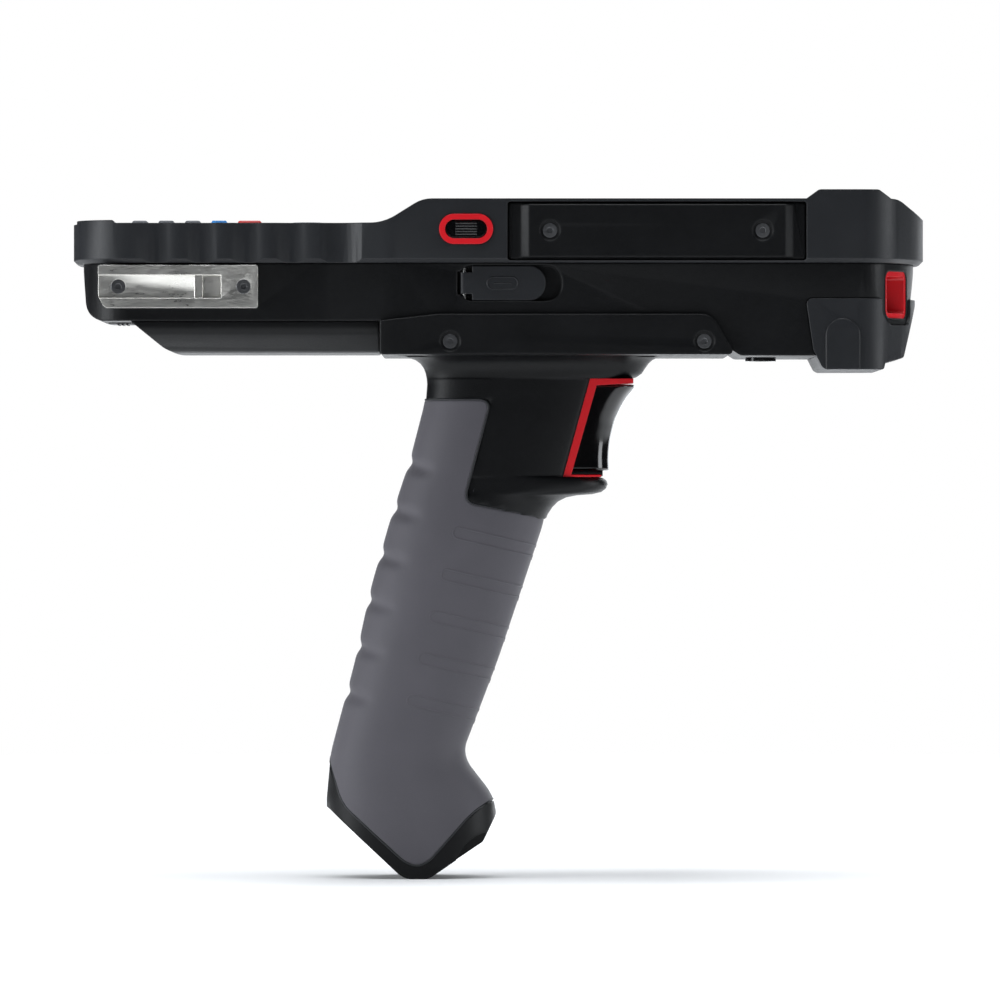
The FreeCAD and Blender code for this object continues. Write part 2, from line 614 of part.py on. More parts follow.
# ---------------------------------------------------------------- bumper and front housing
def bumper_pads():
    """Raised pads at the four corners, before they are trimmed to the outline."""
    pads = []
    low = HEAD_TOP_Z - 3.0
    top = HEAD_TOP_Z + CORNER_PAD_RISE
    end = CORNER_PAD_X + CORNER_PAD_LENGTH
    head = side_prism([(CORNER_PAD_X - 1.0, low, 0), (end + 1.0, low, 0), (end, HEAD_TOP_Z - 0.4, 1.0),
                       (end - CORNER_PAD_RAMP, top, 2.0), (CORNER_PAD_X + CORNER_PAD_RAMP, top, 2.0),
                       (CORNER_PAD_X, HEAD_TOP_Z - 0.4, 1.0)],
                      -HEAD_FLANK, -HEAD_FLANK + CORNER_PAD_REACH)
    tail_low = KEY_TOP_Z - 2.0
    tail_top = KEY_TOP_Z + TAIL_PAD_RISE
    tail_end = TAIL_X + TAIL_PAD_LENGTH
    tail = side_prism([(TAIL_X - 1.0, tail_low, 0), (tail_end + 1.6, tail_low, 0), (tail_end, tail_top, 0.8),
                       (TAIL_X + 1.4, tail_top, 0.5), (TAIL_X - 1.0, tail_top - 2.4, 0)],
                      -KEY_WIDTH / 2, -KEY_WIDTH / 2 + TAIL_PAD_REACH)
    for pad in (head, tail):
        trimmed = pad.common(plan_prism(plan_corners(0.0), KEY_TOP_Z - 3.0, top + 1.0))
        pads += [trimmed, mirrored(trimmed)]
    return pads


def make_front_bumper():
    """Rubber ring with a lip over the housing, scalloped flanks and chamfered lower edge."""
    outer = envelope(0.0, 0.0).fuse(Part.makeCompound(bumper_pads()))
    inner_low = rounded_wire(plan_corners(BUMPER_CHAMFER), lambda u, v: Vector(u, v, SEAM_Z))
    inner_high = rounded_wire(plan_corners(0.0), lambda u, v: Vector(u, v, SEAM_Z + BUMPER_CHAMFER))
    foot = Part.makeLoft([inner_low, inner_high], True, True)
    above = box(TAIL_X - 1, NOSE_X + 1, -HEAD_WIDTH, HEAD_WIDTH, SEAM_Z + BUMPER_CHAMFER, HEAD_TOP_Z + 10)
    bumper = joined([outer.common(above), foot])
    bumper = bumper.cut(envelope(BUMPER_WALL, BUMPER_LIP))
    keypad = rectangle((KEY_WINDOW_START + KEY_WINDOW_END) / 2, 0, KEY_WINDOW_END - KEY_WINDOW_START,
                       2 * KEY_WINDOW_HALF, KEY_WINDOW_CORNER)
    bumper = bumper.cut(plan_prism(keypad, DECK_Z - 1.0, HEAD_TOP_Z + 5.0))
    screen = rectangle(GLASS_X, 0, GLASS_LENGTH + 2 * GLASS_GAP, GLASS_WIDTH + 2 * GLASS_GAP, GLASS_CORNER)
    bumper = bumper.cut(plan_prism(screen, HEAD_DECK_Z - 1.0, HEAD_TOP_Z + 5.0))
    cuts = []
    scallop_y = -(KEY_WIDTH / 2 - SCALLOP_DEPTH + SCALLOP_RADIUS)
    for index in range(SCALLOP_COUNT):
        x = SCALLOP_FIRST_X + index * SCALLOP_PITCH
        cuts.append(round_bar(Vector(x, scallop_y, SEAM_Z - 1.0), Vector(0, 0, 1), SCALLOP_RADIUS, 20.0))
    cuts.append(side_prism(cover_corners(0.15), -HEAD_WIDTH, -(HEAD_FLANK - BUMPER_WALL)))
    cuts.append(side_prism(oval(RING_LENGTH, RING_HEIGHT), -HEAD_WIDTH, -(HEAD_FLANK - BUMPER_WALL)))
    for cut in cuts:
        bumper = bumper.cut(cut).cut(mirrored(cut))
    parts["front_bumper"] = bumper


def make_front_housing():
    """Top shell inside the bumper, with the glass recess, key holes and side openings."""
    shell = envelope(BUMPER_WALL, BUMPER_LIP).cut(envelope(BUMPER_WALL + HOUSING_WALL, BUMPER_LIP + TOP_PLATE))
    recess = rectangle(GLASS_X, 0, GLASS_LENGTH + 2 * GLASS_GAP, GLASS_WIDTH + 2 * GLASS_GAP, GLASS_CORNER)
    ledge = rectangle(GLASS_X, 0, GLASS_LENGTH + 2, GLASS_WIDTH + 2, GLASS_CORNER)
    shelf = plan_prism(ledge, HEAD_DECK_Z - GLASS_THICK - TOP_PLATE, HEAD_DECK_Z - TOP_PLATE)
    shell = shell.fuse(shelf).cut(plan_prism(recess, HEAD_DECK_Z - GLASS_THICK, HEAD_DECK_Z + 1.0))
    view = rectangle(GLASS_X, 0, DISPLAY_LENGTH + 2 * DISPLAY_GAP, DISPLAY_WIDTH + 2 * DISPLAY_GAP, 1.0)
    shell = shell.cut(plan_prism(view, SEAM_Z, HEAD_DECK_Z + 1.0))
    for name, x, y, length, breadth, corner in key_layout():
        hole = rectangle(x, y, length + 2 * KEY_HOLE_GAP, breadth + 2 * KEY_HOLE_GAP, corner)
        shell = shell.cut(plan_prism(hole, DECK_Z - 3.0, DECK_Z + 1.0))
    cuts = cover_screw_seats()
    cuts.append(round_bar(Vector(BUTTON_X, -HEAD_FLANK - 2.0, BUTTON_Z), Vector(0, 1, 0),
                          BUTTON_STEM_RADIUS + BUTTON_STEM_GAP, 10.0))
    for cut in cuts:
        shell = shell.cut(cut).cut(mirrored(cut))
    parts["front_housing"] = shell.removeSplitter()


def make_display():
    """Cover glass in its recess, and the display panel bonded under it."""
    glass = rectangle(GLASS_X, 0, GLASS_LENGTH, GLASS_WIDTH, GLASS_CORNER)
    parts["touch_glass"] = plan_prism(glass, HEAD_DECK_Z - GLASS_THICK, HEAD_DECK_Z)
    panel = rectangle(GLASS_X, 0, DISPLAY_LENGTH, DISPLAY_WIDTH, 0.8)
    top = HEAD_DECK_Z - GLASS_THICK
    parts["display_panel"] = plan_prism(panel, top - DISPLAY_THICK, top)


def make_main_board():
    """Circuit board with its processor shield, under the keypad and display."""
    start = TAIL_X + BOARD_TAIL_GAP
    end = NOSE_X - BOARD_NOSE_GAP
    outline = rectangle((start + end) / 2, 0, end - start, 2 * BOARD_HALF_WIDTH, 2.0)
    board = plan_prism(outline, BOARD_TOP_Z - BOARD_THICK, BOARD_TOP_Z)
    shield = rectangle(GLASS_X, 0, 36.0, 30.0, 1.0)
    parts["main_board"] = joined([board, plan_prism(shield, BOARD_TOP_Z, BOARD_TOP_Z + 2.4)])


def make_housing_seal():
    """Closed cord seal between the two housings, in the rear housing's groove."""
    outer = HOUSING_INSET + SEAL_GAP
    ring = plan_prism(plan_corners(outer), SEAM_Z - SEAL_HEIGHT, SEAM_Z)
    hole = plan_prism(plan_corners(outer + SEAL_WIDTH), SEAM_Z - SEAL_HEIGHT, SEAM_Z)
    return ring.cut(hole)


# ---------------------------------------------------------------- battery
BATTERY_START = TAIL_X + BATTERY_TAIL_GAP
BATTERY_END = SADDLE_START - BATTERY_GAP
BATTERY_LOW_Z = KEY_BOTTOM_Z - BATTERY_BULGE
CELL_TOP_Z = KEY_BOTTOM_Z + CELL_HEIGHT


def battery_cell(margin):
    """The block of the pack that goes up into the housing's bay."""
    return box(BATTERY_START + CELL_INSET - margin, BATTERY_END - CELL_INSET + margin,
               -CELL_HALF_WIDTH - margin, CELL_HALF_WIDTH + margin, KEY_BOTTOM_Z - 4.0, CELL_TOP_Z + margin)


def make_battery_pack():
    """Bulged pack under the keypad: outer cover and the cell block above it."""
    half = KEY_WIDTH / 2 - BATTERY_SIDE_INSET
    side = side_prism([(BATTERY_START, KEY_BOTTOM_Z, 0), (BATTERY_START + 10.6, BATTERY_LOW_Z, 9.0),
                       (BATTERY_END, BATTERY_LOW_Z, 0.8), (BATTERY_END, KEY_BOTTOM_Z, 0)], -half, half)
    end = end_prism([(-half, KEY_BOTTOM_Z, 0), (-half, KEY_BOTTOM_Z - 3.0, 3.0), (-half + 9.0, BATTERY_LOW_Z, 5.0),
                     (half - 9.0, BATTERY_LOW_Z, 5.0), (half, KEY_BOTTOM_Z - 3.0, 3.0), (half, KEY_BOTTOM_Z, 0)],
                    BATTERY_START, BATTERY_END)
    parts["battery_pack"] = side.common(end).fuse(battery_cell(0.0)).removeSplitter()


def battery_bay():
    """Walls and roof of the bay round the cell block."""
    return battery_cell(BATTERY_GAP + BAY_WALL)


# ---------------------------------------------------------------- rear housing
def window_corners(margin):
    """Outline of the scan window in the end face."""
    return rectangle(WINDOW_Y, WINDOW_TOP_Z - WINDOW_HEIGHT / 2, WINDOW_WIDTH + 2 * margin,
                     WINDOW_HEIGHT + 2 * margin, WINDOW_CORNER + margin)


def flap_corners(margin, extra):
    """Outline of the port flap, longer by extra at its free end."""
    return rectangle(FLAP_X + (FLAP_LENGTH + extra) / 2, FLAP_TOP_Z - FLAP_HEIGHT / 2,
                     FLAP_LENGTH + extra + 2 * margin, FLAP_HEIGHT + 2 * margin, FLAP_HEIGHT / 2 - 0.3)


PORT_Z = FLAP_TOP_Z - FLAP_HEIGHT / 2
FLAP_PIN_X = FLAP_X + FLAP_BARREL_RADIUS + 0.4
FLAP_PIN_Y = -(REAR_FLANK - FLAP_BARREL_RADIUS)
WINDOW_BACK_X = NOSE_X - NOSE_BOW - HOUSING_INSET - WINDOW_DEPTH


def boot_solid(grow):
    """Envelope of the scan end's rubber boot, grown by grow on its face."""
    heel_end = BOOT_START + BOOT_HEEL_LENGTH
    low = HEAD_BOTTOM_Z - BOOT_BOTTOM
    side = side_prism([
        (BOOT_START, BOOT_TOP_Z, 1.6), (BOOT_START + 2.1, BOOT_TOP_Z - 14.2, 3.0),
        (BOOT_START + 4.8, low, 2.0), (heel_end, low, 0.8), (heel_end + 0.4, low + 1.8, 0),
        (heel_end + 5.9, low + 3.4, 1.0), (NOSE_X - BOOT_INSET + grow, BOOT_TOP_Z - 0.8, 0),
        (NOSE_X - BOOT_INSET + grow, BOOT_TOP_Z, 0)], -HEAD_WIDTH, HEAD_WIDTH)
    return side.common(plan_prism(plan_corners(BOOT_INSET - grow), low - 1.0, BOOT_TOP_Z + 1.0))


def boot_core():
    """What the boot wraps round."""
    core = plan_prism(plan_corners(BOOT_INSET + BOOT_WALL), HEAD_BOTTOM_Z, BOOT_TOP_Z + 1.0)
    start = box(BOOT_START - 5.0, BOOT_START, -HEAD_WIDTH, HEAD_WIDTH, HEAD_BOTTOM_Z, BOOT_TOP_Z + 1.0)
    return core.cut(start)


def make_rear_housing():
    """Lower shell with the battery bay, flap recess, rail seats and scan-end openings."""
    shell = rear_envelope(0.0).cut(rear_envelope(HOUSING_WALL))
    bay = battery_bay().common(rear_envelope(0.0))
    shell = shell.fuse(bay).cut(battery_cell(BATTERY_GAP)).cut(latch_slot())
    boot = boot_solid(0.0).cut(boot_core())
    inner_boot = plan_prism(plan_corners(BOOT_INSET + BOOT_WALL + HOUSING_WALL), HEAD_BOTTOM_Z + HOUSING_WALL,
                            SEAM_Z)
    backing = boot_core().cut(inner_boot).common(boot_solid(0.0))
    shell = shell.fuse(backing).cut(boot)
    # window tube
    tube = end_prism(window_corners(HOUSING_WALL), WINDOW_BACK_X, NOSE_X).common(rear_envelope(0.0))
    opening = end_prism(window_corners(0.0), WINDOW_BACK_X - 5.0, NOSE_X + 1.0)
    shell = shell.fuse(tube).cut(opening)
    # camera
    camera = Vector(CAMERA_X, 0, HEAD_BOTTOM_Z - 5.0)
    shell = shell.cut(round_bar(camera, Vector(0, 0, 1), CAMERA_RADIUS, 12.0))
    shell = shell.cut(box(CONTACT_X - 6.0, CONTACT_X + 6.0, -4.0, 4.0, SADDLE_SEAT_Z, SADDLE_SEAT_Z + 3.0))
    # flap recess, port, rail seat and screws on the -Y flank
    recess = side_prism(flap_corners(FLAP_GAP, FLAP_RECESS_END), -HEAD_WIDTH, -(REAR_FLANK - FLAP_RECESS_DEPTH))
    thickening = side_prism(flap_corners(2.0, FLAP_RECESS_END), -REAR_FLANK, -(REAR_FLANK - FLAP_RECESS_DEPTH - 2.2))
    socket = port_body(0.1)
    pin_pocket = box(FLAP_X - FLAP_GAP, FLAP_PIN_X + FLAP_BARREL_RADIUS + 0.5, -HEAD_WIDTH,
                     FLAP_PIN_Y + FLAP_BARREL_RADIUS + 0.35, PORT_Z - FLAP_BARREL_HEIGHT / 2 - 0.2,
                     PORT_Z + FLAP_BARREL_HEIGHT / 2 + 0.2)
    pin = flap_pin_bar()
    low_z = RAIL_TOP_Z - RAIL_HEIGHT
    end = RAIL_START + RAIL_LENGTH
    rail_seat = side_prism([(RAIL_START + 1.8, low_z, 1.6), (end, low_z, 0.6), (end, RAIL_TOP_Z, 0.6),
                            (RAIL_START, RAIL_TOP_Z, 0.6), (RAIL_START, low_z + 3.2, 1.2)],
                           -HEAD_WIDTH, -(KEY_REAR_FLANK - RAIL_SINK))
    rail_block = box(RAIL_START + 3.0, RAIL_START + RAIL_LENGTH - 2.0, -(KEY_REAR_FLANK - RAIL_SINK),
                     -(CELL_HALF_WIDTH + BATTERY_GAP + BAY_WALL), low_z + 1.0, RAIL_TOP_Z - 1.0)
    rail_block = rail_block.common(rear_envelope(0.0))
    for place in (lambda shape: shape, mirrored):
        shell = shell.fuse(place(thickening.common(rear_envelope(0.0))))
        shell = shell.fuse(place(rail_block))
        for cut in [recess, pin_pocket, pin, rail_seat] + rail_screw_seats() + saddle_screw_seats():
            shell = shell.cut(place(cut))
    seal = make_housing_seal()
    parts["rear_housing"] = shell.cut(socket).cut(seal).removeSplitter()
    parts["housing_seal"] = seal


def port_body(margin):
    """Outer block of the connector behind the flap."""
    outline = rectangle(PORT_X, PORT_Z, PORT_LENGTH + 2 * PORT_WALL + 2 * margin,
                        PORT_HEIGHT + 2 * PORT_WALL + 2 * margin, 1.0)
    front_y = -(REAR_FLANK - FLAP_RECESS_DEPTH)
    return side_prism(outline, front_y, front_y + PORT_DEPTH)


def make_port_socket():
    """Connector shell with its tongue."""
    front_y = -(REAR_FLANK - FLAP_RECESS_DEPTH)
    mouth = side_prism(rectangle(PORT_X, PORT_Z, PORT_LENGTH, PORT_HEIGHT, 0.8), front_y, front_y + PORT_DEPTH - 1.0)
    tongue = side_prism(rectangle(PORT_X, PORT_Z, PORT_LENGTH - 2.6, 0.9, 0), front_y + 1.0, front_y + PORT_DEPTH)
    parts["port_socket"] = port_body(0.0).cut(mouth).fuse(tongue).removeSplitter()


def flap_pin_bar():
    """The flap's hinge pin, held at both ends by the rear housing."""
    half = FLAP_BARREL_HEIGHT / 2 + 1.2
    return round_bar(Vector(FLAP_PIN_X, FLAP_PIN_Y, PORT_Z - half), Vector(0, 0, 1), FLAP_PIN_RADIUS, 2 * half)


def make_port_flap(name, pin_name, place):
    """Soft flap with a hinge barrel at one end, and its pin."""
    plate = side_prism(flap_corners(0.0, 0.0), -REAR_FLANK, -(REAR_FLANK - FLAP_THICK))
    low = PORT_Z - FLAP_BARREL_HEIGHT / 2
    ear_end = FLAP_PIN_X + FLAP_EAR
    plate = plate.cut(box(FLAP_X - 1.0, ear_end, -HEAD_WIDTH, 0, PORT_Z - FLAP_HEIGHT, low))
    plate = plate.cut(box(FLAP_X - 1.0, ear_end, -HEAD_WIDTH, 0, low + FLAP_BARREL_HEIGHT, PORT_Z + FLAP_HEIGHT))
    plate = plate.cut(box(FLAP_X - 1.0, FLAP_PIN_X, -HEAD_WIDTH, 0, PORT_Z - FLAP_HEIGHT, PORT_Z + FLAP_HEIGHT))
    axis_point = Vector(FLAP_PIN_X, FLAP_PIN_Y, low)
    barrel = round_bar(axis_point, Vector(0, 0, 1), FLAP_BARREL_RADIUS, FLAP_BARREL_HEIGHT)
    hole = round_bar(axis_point, Vector(0, 0, 1), FLAP_PIN_RADIUS + FLAP_PIN_FIT, FLAP_BARREL_HEIGHT)
    plug = side_prism(rectangle(PORT_X, PORT_Z, PORT_LENGTH - 1.2, 1.0, 0.3), -(REAR_FLANK - FLAP_THICK),
                      -(REAR_FLANK - FLAP_THICK) + 0.2)
    parts[name] = place(joined([plate, barrel, plug]).cut(hole))
    parts[pin_name] = place(flap_pin_bar())


# ---------------------------------------------------------------- scan end
def make_head_boot():
    """Rubber boot with a raised thumb tongue on each flank and a notch under the window."""
    boot = boot_solid(0.0).cut(boot_core())
    notch = end_prism(window_corners(WINDOW_NOTCH_MARGIN), NOSE_X - NOSE_BOW - 6.0, NOSE_X + 1.0)
    boot = boot.cut(notch)
    tongue = side_prism([
        (BOOT_TONGUE_X - BOOT_TONGUE_HALF, HEAD_BOTTOM_Z - BOOT_BOTTOM, 0),
        (BOOT_TONGUE_X + BOOT_TONGUE_HALF, HEAD_BOTTOM_Z - BOOT_BOTTOM, 0),
        (BOOT_TONGUE_X + BOOT_TONGUE_HALF, BOOT_TONGUE_TOP, BOOT_TONGUE_HALF - 0.1),
        (BOOT_TONGUE_X - BOOT_TONGUE_HALF, BOOT_TONGUE_TOP, BOOT_TONGUE_HALF - 0.1)],
        -HEAD_FLANK + BOOT_INSET - BOOT_TONGUE_PROUD, -HEAD_FLANK + BOOT_INSET + 0.5)
    parts["head_boot"] = joined([boot, tongue, mirrored(tongue)])


def make_scan_window():
    """Red bezel tube in the end face, the window pane at its back and the scan engine behind."""
    flush = rear_envelope(0.3).fuse(boot_core().common(rear_envelope(0.0)))
    tube = end_prism(window_corners(0.0), WINDOW_BACK_X, NOSE_X).common(flush)
    hole = end_prism(window_corners(-WINDOW_FRAME), WINDOW_BACK_X + WINDOW_GLASS_THICK, NOSE_X + 1.0)
    seat = end_prism(window_corners(-WINDOW_FRAME / 2), WINDOW_BACK_X, WINDOW_BACK_X + WINDOW_GLASS_THICK)
    parts["window_bezel"] = tube.cut(hole).cut(seat)
    parts["scan_window"] = seat
    engine_front = WINDOW_BACK_X - ENGINE_GAP
    engine = end_prism(window_corners(-WINDOW_FRAME / 2), engine_front - ENGINE_LENGTH, engine_front)
    lens = round_bar(Vector(engine_front, WINDOW_Y, WINDOW_TOP_Z - WINDOW_HEIGHT / 2), Vector(1, 0, 0), 2.6, 0.5)
    parts["scan_engine"] = joined([engine, lens])


def make_camera():
    """Camera barrel through the underside, with its lens recess."""
    low = HEAD_BOTTOM_Z - CAMERA_PROUD
    barrel = round_bar(Vector(CAMERA_X, 0, low), Vector(0, 0, 1), CAMERA_RADIUS, CAMERA_DEPTH)
    dish = Part.makeCone(CAMERA_RADIUS - 1.0, CAMERA_RADIUS - 2.0, 0.6, Vector(CAMERA_X, 0, low), Vector(0, 0, 1))
    parts["camera_lens"] = barrel.cut(dish)


# ---------------------------------------------------------------- handle
def neck_corners():
    """Side view of the black neck, from the saddle down to the grip, without the trigger's space."""
    return [
        (-30.0, SADDLE_BOTTOM_Z + 1.0, 0),
        (-24.0, SADDLE_BOTTOM_Z - 0.6, 4.0),
        (-19.6, SADDLE_BOTTOM_Z - 10.0, 8.0),
        (-24.5, 118.0, 40.0),
        (-30.8, 97.0, 0),
        (12.6, 97.0, 0),
        (17.0, 106.3, 6.0),
        (27.0, 106.3, 3.0),
        (31.0, 109.3, 1.2),
        (30.2, TRIGGER_FLOOR_Z - BEZEL_FOOT, 0.4),
        (BEZEL_LOW_X, TRIGGER_FLOOR_Z - BEZEL_FOOT, 0),
        (BEZEL_HIGH_X, TRIGGER_ROOF_Z, 0),
        (39.0, TRIGGER_ROOF_Z, 1.2),
        (41.8, SADDLE_BOTTOM_Z - 1.0, 3.0),
        (46.0, SADDLE_BOTTOM_Z + 1.0, 0)]


def grip_station(z):
    """Back x, front x and half width of the grip at height z, straight between the stations."""
    for low, high in zip(GRIP_STATIONS, GRIP_STATIONS[1:]):
        if z <= high[0]:
            share = (z - low[0]) / (high[0] - low[0])
            return [a + (b - a) * share for a, b in zip(low[1:], high[1:])]
    return list(GRIP_STATIONS[-1][1:])


def grip_section(z, inset):
    """Closed curve round the grip at height z: a superellipse, set in by inset."""
    back, front, half_width = grip_station(z)
    middle = (back + front) / 2
    reach = (front - back) / 2 - inset
    width = half_width - inset
    points = []
    for step in range(GRIP_POINTS):
        angle = 2 * math.pi * step / GRIP_POINTS
        c = math.cos(angle)
        s = math.sin(angle)
        x = middle + reach * math.copysign(abs(c) ** (2 / GRIP_POWER), c)
        y = width * math.copysign(abs(s) ** (2 / GRIP_POWER), s)
        points.append(Vector(x, y, z))
    curve = Part.BSplineCurve()
    curve.interpolate(points, PeriodicFlag=True)
    return Part.Wire([curve.toShape()])


def grip_solid(low, high, inset):
    """The grip between two heights."""
    inner = [station[0] for station in GRIP_STATIONS if low + 1.0 < station[0] < high - 1.0]
    heights = [low] + inner + [high]
    return Part.makeLoft([grip_section(z, inset) for z in heights], True, True)


def sleeve_zone(grow):
    """Side view region that the soft sleeve covers, grown by grow."""
    corners = [
        (-60.0, 132.9 + grow, 0), (-5.0, 132.9 + grow, 3.0), (-1.6 + grow, 129.6, 3.0),
        (-9.2 + grow, 104.5 + grow, 5.0), (22.0, 98.6 + grow, 0), (22.0, 21.4 - grow, 0),
        (-3.4, 21.4 - grow, 2.0), (-24.0, 4.4 - 1.4 * grow, 7.0), (-43.0, 20.8 - 1.4 * grow, 5.0),
        (-48.5, 36.0 - grow, 0), (-60.0, 36.0 - grow, 0)]
    return side_prism(corners, -30.0, 30.0)


def foot_zone(inset):
    """Side view region above the grip's slanted foot, set in by inset."""
    lift = 1.35 * inset
    corners = [
        (-60.0, 140.0, 0), (-60.0, 23.0 + lift, 0), (-47.4, 19.6 + lift, 5.0), (-26.2, lift, 6.0),
        (-19.4, lift, 4.0), (-4.3, 10.2 + lift, 2.0), (-0.6, 17.8 + lift, 2.0), (-1.5, 22.0 + lift, 0),
        (60.0, 22.0 + lift, 0), (60.0, 140.0, 0)]
    return side_prism(corners, -30.0, 30.0)


def eye_bar(radius, y_low, y_high):
    """Round bar along the lanyard eye's axis."""
    return round_bar(Vector(EYE_X, y_low, EYE_Z), Vector(0, 1, 0), radius, y_high - y_low)


def make_handle():
    """Two half shells with the saddle, the soft sleeve and the end cap."""
    saddle_side = side_prism([
        (SADDLE_START, SADDLE_BOTTOM_Z, 0.8), (SADDLE_END - 1.5, SADDLE_BOTTOM_Z, 1.0),
        (SADDLE_END - SADDLE_SLOPE, SADDLE_TOP_Z, 5.0), (SADDLE_START + 16.0, SADDLE_TOP_Z, 8.0),
        (SADDLE_START, SADDLE_REAR_TOP_Z, 0)], -HEAD_WIDTH, HEAD_WIDTH)
    wrap = plan_prism(plan_corners(HOUSING_INSET - SADDLE_WALL), SADDLE_BOTTOM_Z - 1.0, SADDLE_TOP_Z + 1.0)
    saddle = saddle_side.common(wrap).cut(rear_envelope(0.0))
    core = grip_solid(GRIP_STATIONS[0][0], GRIP_TOP_Z, SLEEVE_THICK).common(foot_zone(CAP_THICK))
    core = core.cut(eye_bar(EYE_POCKET_RADIUS + EYE_WALL, -CAP_REACH, CAP_REACH))
    outer = grip_solid(GRIP_STATIONS[0][0], GRIP_TOP_Z, 0.0)
    neck = side_prism(neck_corners(), -NECK_HALF, NECK_HALF)
    for y_low, y_high in ((-NECK_HALF - 1.0, -BEZEL_HALF), (BEZEL_HALF, NECK_HALF + 1.0)):
        neck = neck.cut(side_prism(bezel_pocket_corners(), y_low, y_high))
    upper = box(-60.0, 60.0, -30.0, 30.0, 60.0, GRIP_TOP_Z + 1.0)
    black = neck.fuse(outer.common(upper)).cut(sleeve_zone(SLEEVE_GROOVE))
    solid = saddle.fuse(black).fuse(core)
    hollow = grip_solid(GRIP_HOLLOW_LOW_Z, GRIP_TOP_Z, SLEEVE_THICK + SHELL_WALL)
    pocket = side_prism([
        (9.0, TRIGGER_FLOOR_Z, 1.5), (60.0, TRIGGER_FLOOR_Z, 0), (60.0, TRIGGER_ROOF_Z - 0.8, 0),
        (12.0, TRIGGER_ROOF_Z - 0.8, 1.5)], -TRIGGER_ROOM_HALF, TRIGGER_ROOM_HALF)
    solid = solid.cut(hollow).cut(pocket).cut(trigger_pin_bar()).cut(bezel_strip())
    for seat in saddle_screw_seats():
        solid = solid.cut(seat).cut(mirrored(seat))
    far = box(-150, 150, 0, 60, -10, 200)
    parts["handle_shell_left"] = solid.common(far)
    parts["handle_shell_right"] = solid.cut(far)
    parts["grip_sleeve"] = outer.common(sleeve_zone(0.0)).cut(core)
    cap = outer.common(foot_zone(0.0)).cut(sleeve_zone(SLEEVE_GROOVE)).cut(core)
    cap = cap.common(box(-60.0, 20.0, -30.0, 30.0, -5.0, 40.0))
    cap = cap.cut(eye_bar(EYE_POCKET_RADIUS, -EYE_POCKET_HALF, EYE_POCKET_HALF))
    rooted = EYE_POCKET_HALF + EYE_WALL
    cap = cap.fuse(eye_bar(EYE_BAR_RADIUS, -rooted, rooted))
    scoop_from = Vector(SCOOP_X, -CAP_REACH, SCOOP_Z)
    scoop = round_bar(scoop_from, Vector(0, 1, 0), SCOOP_RADIUS, CAP_REACH - SCOOP_INNER)
    parts["grip_cap"] = cap.cut(scoop).cut(mirrored(scoop))


# ---------------------------------------------------------------- trigger group
def bezel_pocket_corners():
    """Side view of the bevelled recess in which the bezel lies."""
    return [(13.6, 115.0, 1.6), (17.0, TRIGGER_FLOOR_Z - 1.2, 2.0), (60.0, TRIGGER_FLOOR_Z - 1.2, 0),
            (60.0, TRIGGER_ROOF_Z + 0.6, 0), (24.0, TRIGGER_ROOF_Z + 0.6, 1.0)]


def bezel_strip():
    """U-shaped strip round the trigger: top bar, back bar and thin foot."""
    strip = BEZEL_STRIP
    corners = [
        (BEZEL_LOW_X, TRIGGER_FLOOR_Z - BEZEL_FOOT, 0), (BEZEL_LOW_X + 10.6, TRIGGER_FLOOR_Z - BEZEL_FOOT, 0),
        (BEZEL_LOW_X + 10.6, TRIGGER_FLOOR_Z, 0), (BEZEL_LOW_X + strip + 0.4, TRIGGER_FLOOR_Z, 0),
        (BEZEL_HIGH_X + strip, TRIGGER_ROOF_Z - strip, 0), (BEZEL_HIGH_X + 12.0, TRIGGER_ROOF_Z - strip + 0.6, 0),
        (BEZEL_HIGH_X + 12.0, TRIGGER_ROOF_Z, 0), (BEZEL_HIGH_X, TRIGGER_ROOF_Z, 0)]
    return side_prism(corners, -BEZEL_HALF, BEZEL_HALF)


def trigger_pin_bar():
    """Steel pin that the trigger swings on, held by both shells."""
    half = BEZEL_HALF - 0.6
    return round_bar(Vector(TRIGGER_PIN_X, -half, TRIGGER_PIN_Z), Vector(0, 1, 0), TRIGGER_PIN_RADIUS, 2 * half)


def make_trigger():
    """Trigger with its concave face, and the bezel that frames it."""
    front = [(38.6, 136.9, 1.0), (34.6, 131.8, 6.0), (31.4, 122.0, 20.0), (31.2, 113.1, 1.2)]
    back = [(17.2, 113.1, 1.0), (20.2, 130.0, 0), (22.6, 136.2, 0.6), (26.0, 136.2, 0)]
    body = side_prism(front + back, -TRIGGER_HALF, TRIGGER_HALF)
    axis = Vector(0, 1, 0)
    start = Vector(TRIGGER_PIN_X, -TRIGGER_HALF, TRIGGER_PIN_Z)
    hub = round_bar(start, axis, TRIGGER_HUB_RADIUS, 2 * TRIGGER_HALF)
    bore = round_bar(start, axis, TRIGGER_PIN_RADIUS + TRIGGER_PIN_FIT, 2 * TRIGGER_HALF)
    coil_gap = round_bar(Vector(TRIGGER_PIN_X, -SPRING_GAP_HALF, TRIGGER_PIN_Z), axis,
                         SPRING_RADIUS + 2 * SPRING_WIRE + 0.3, 2 * SPRING_GAP_HALF)
    parts["trigger"] = joined([body, hub]).cut(bore).cut(coil_gap)
    opening = box(0, 60, -TRIGGER_ROOM_HALF, TRIGGER_ROOM_HALF, TRIGGER_FLOOR_Z, TRIGGER_ROOF_Z - BEZEL_STRIP)
    parts["trigger_bezel"] = bezel_strip().cut(opening)
    parts["trigger_pin"] = trigger_pin_bar()


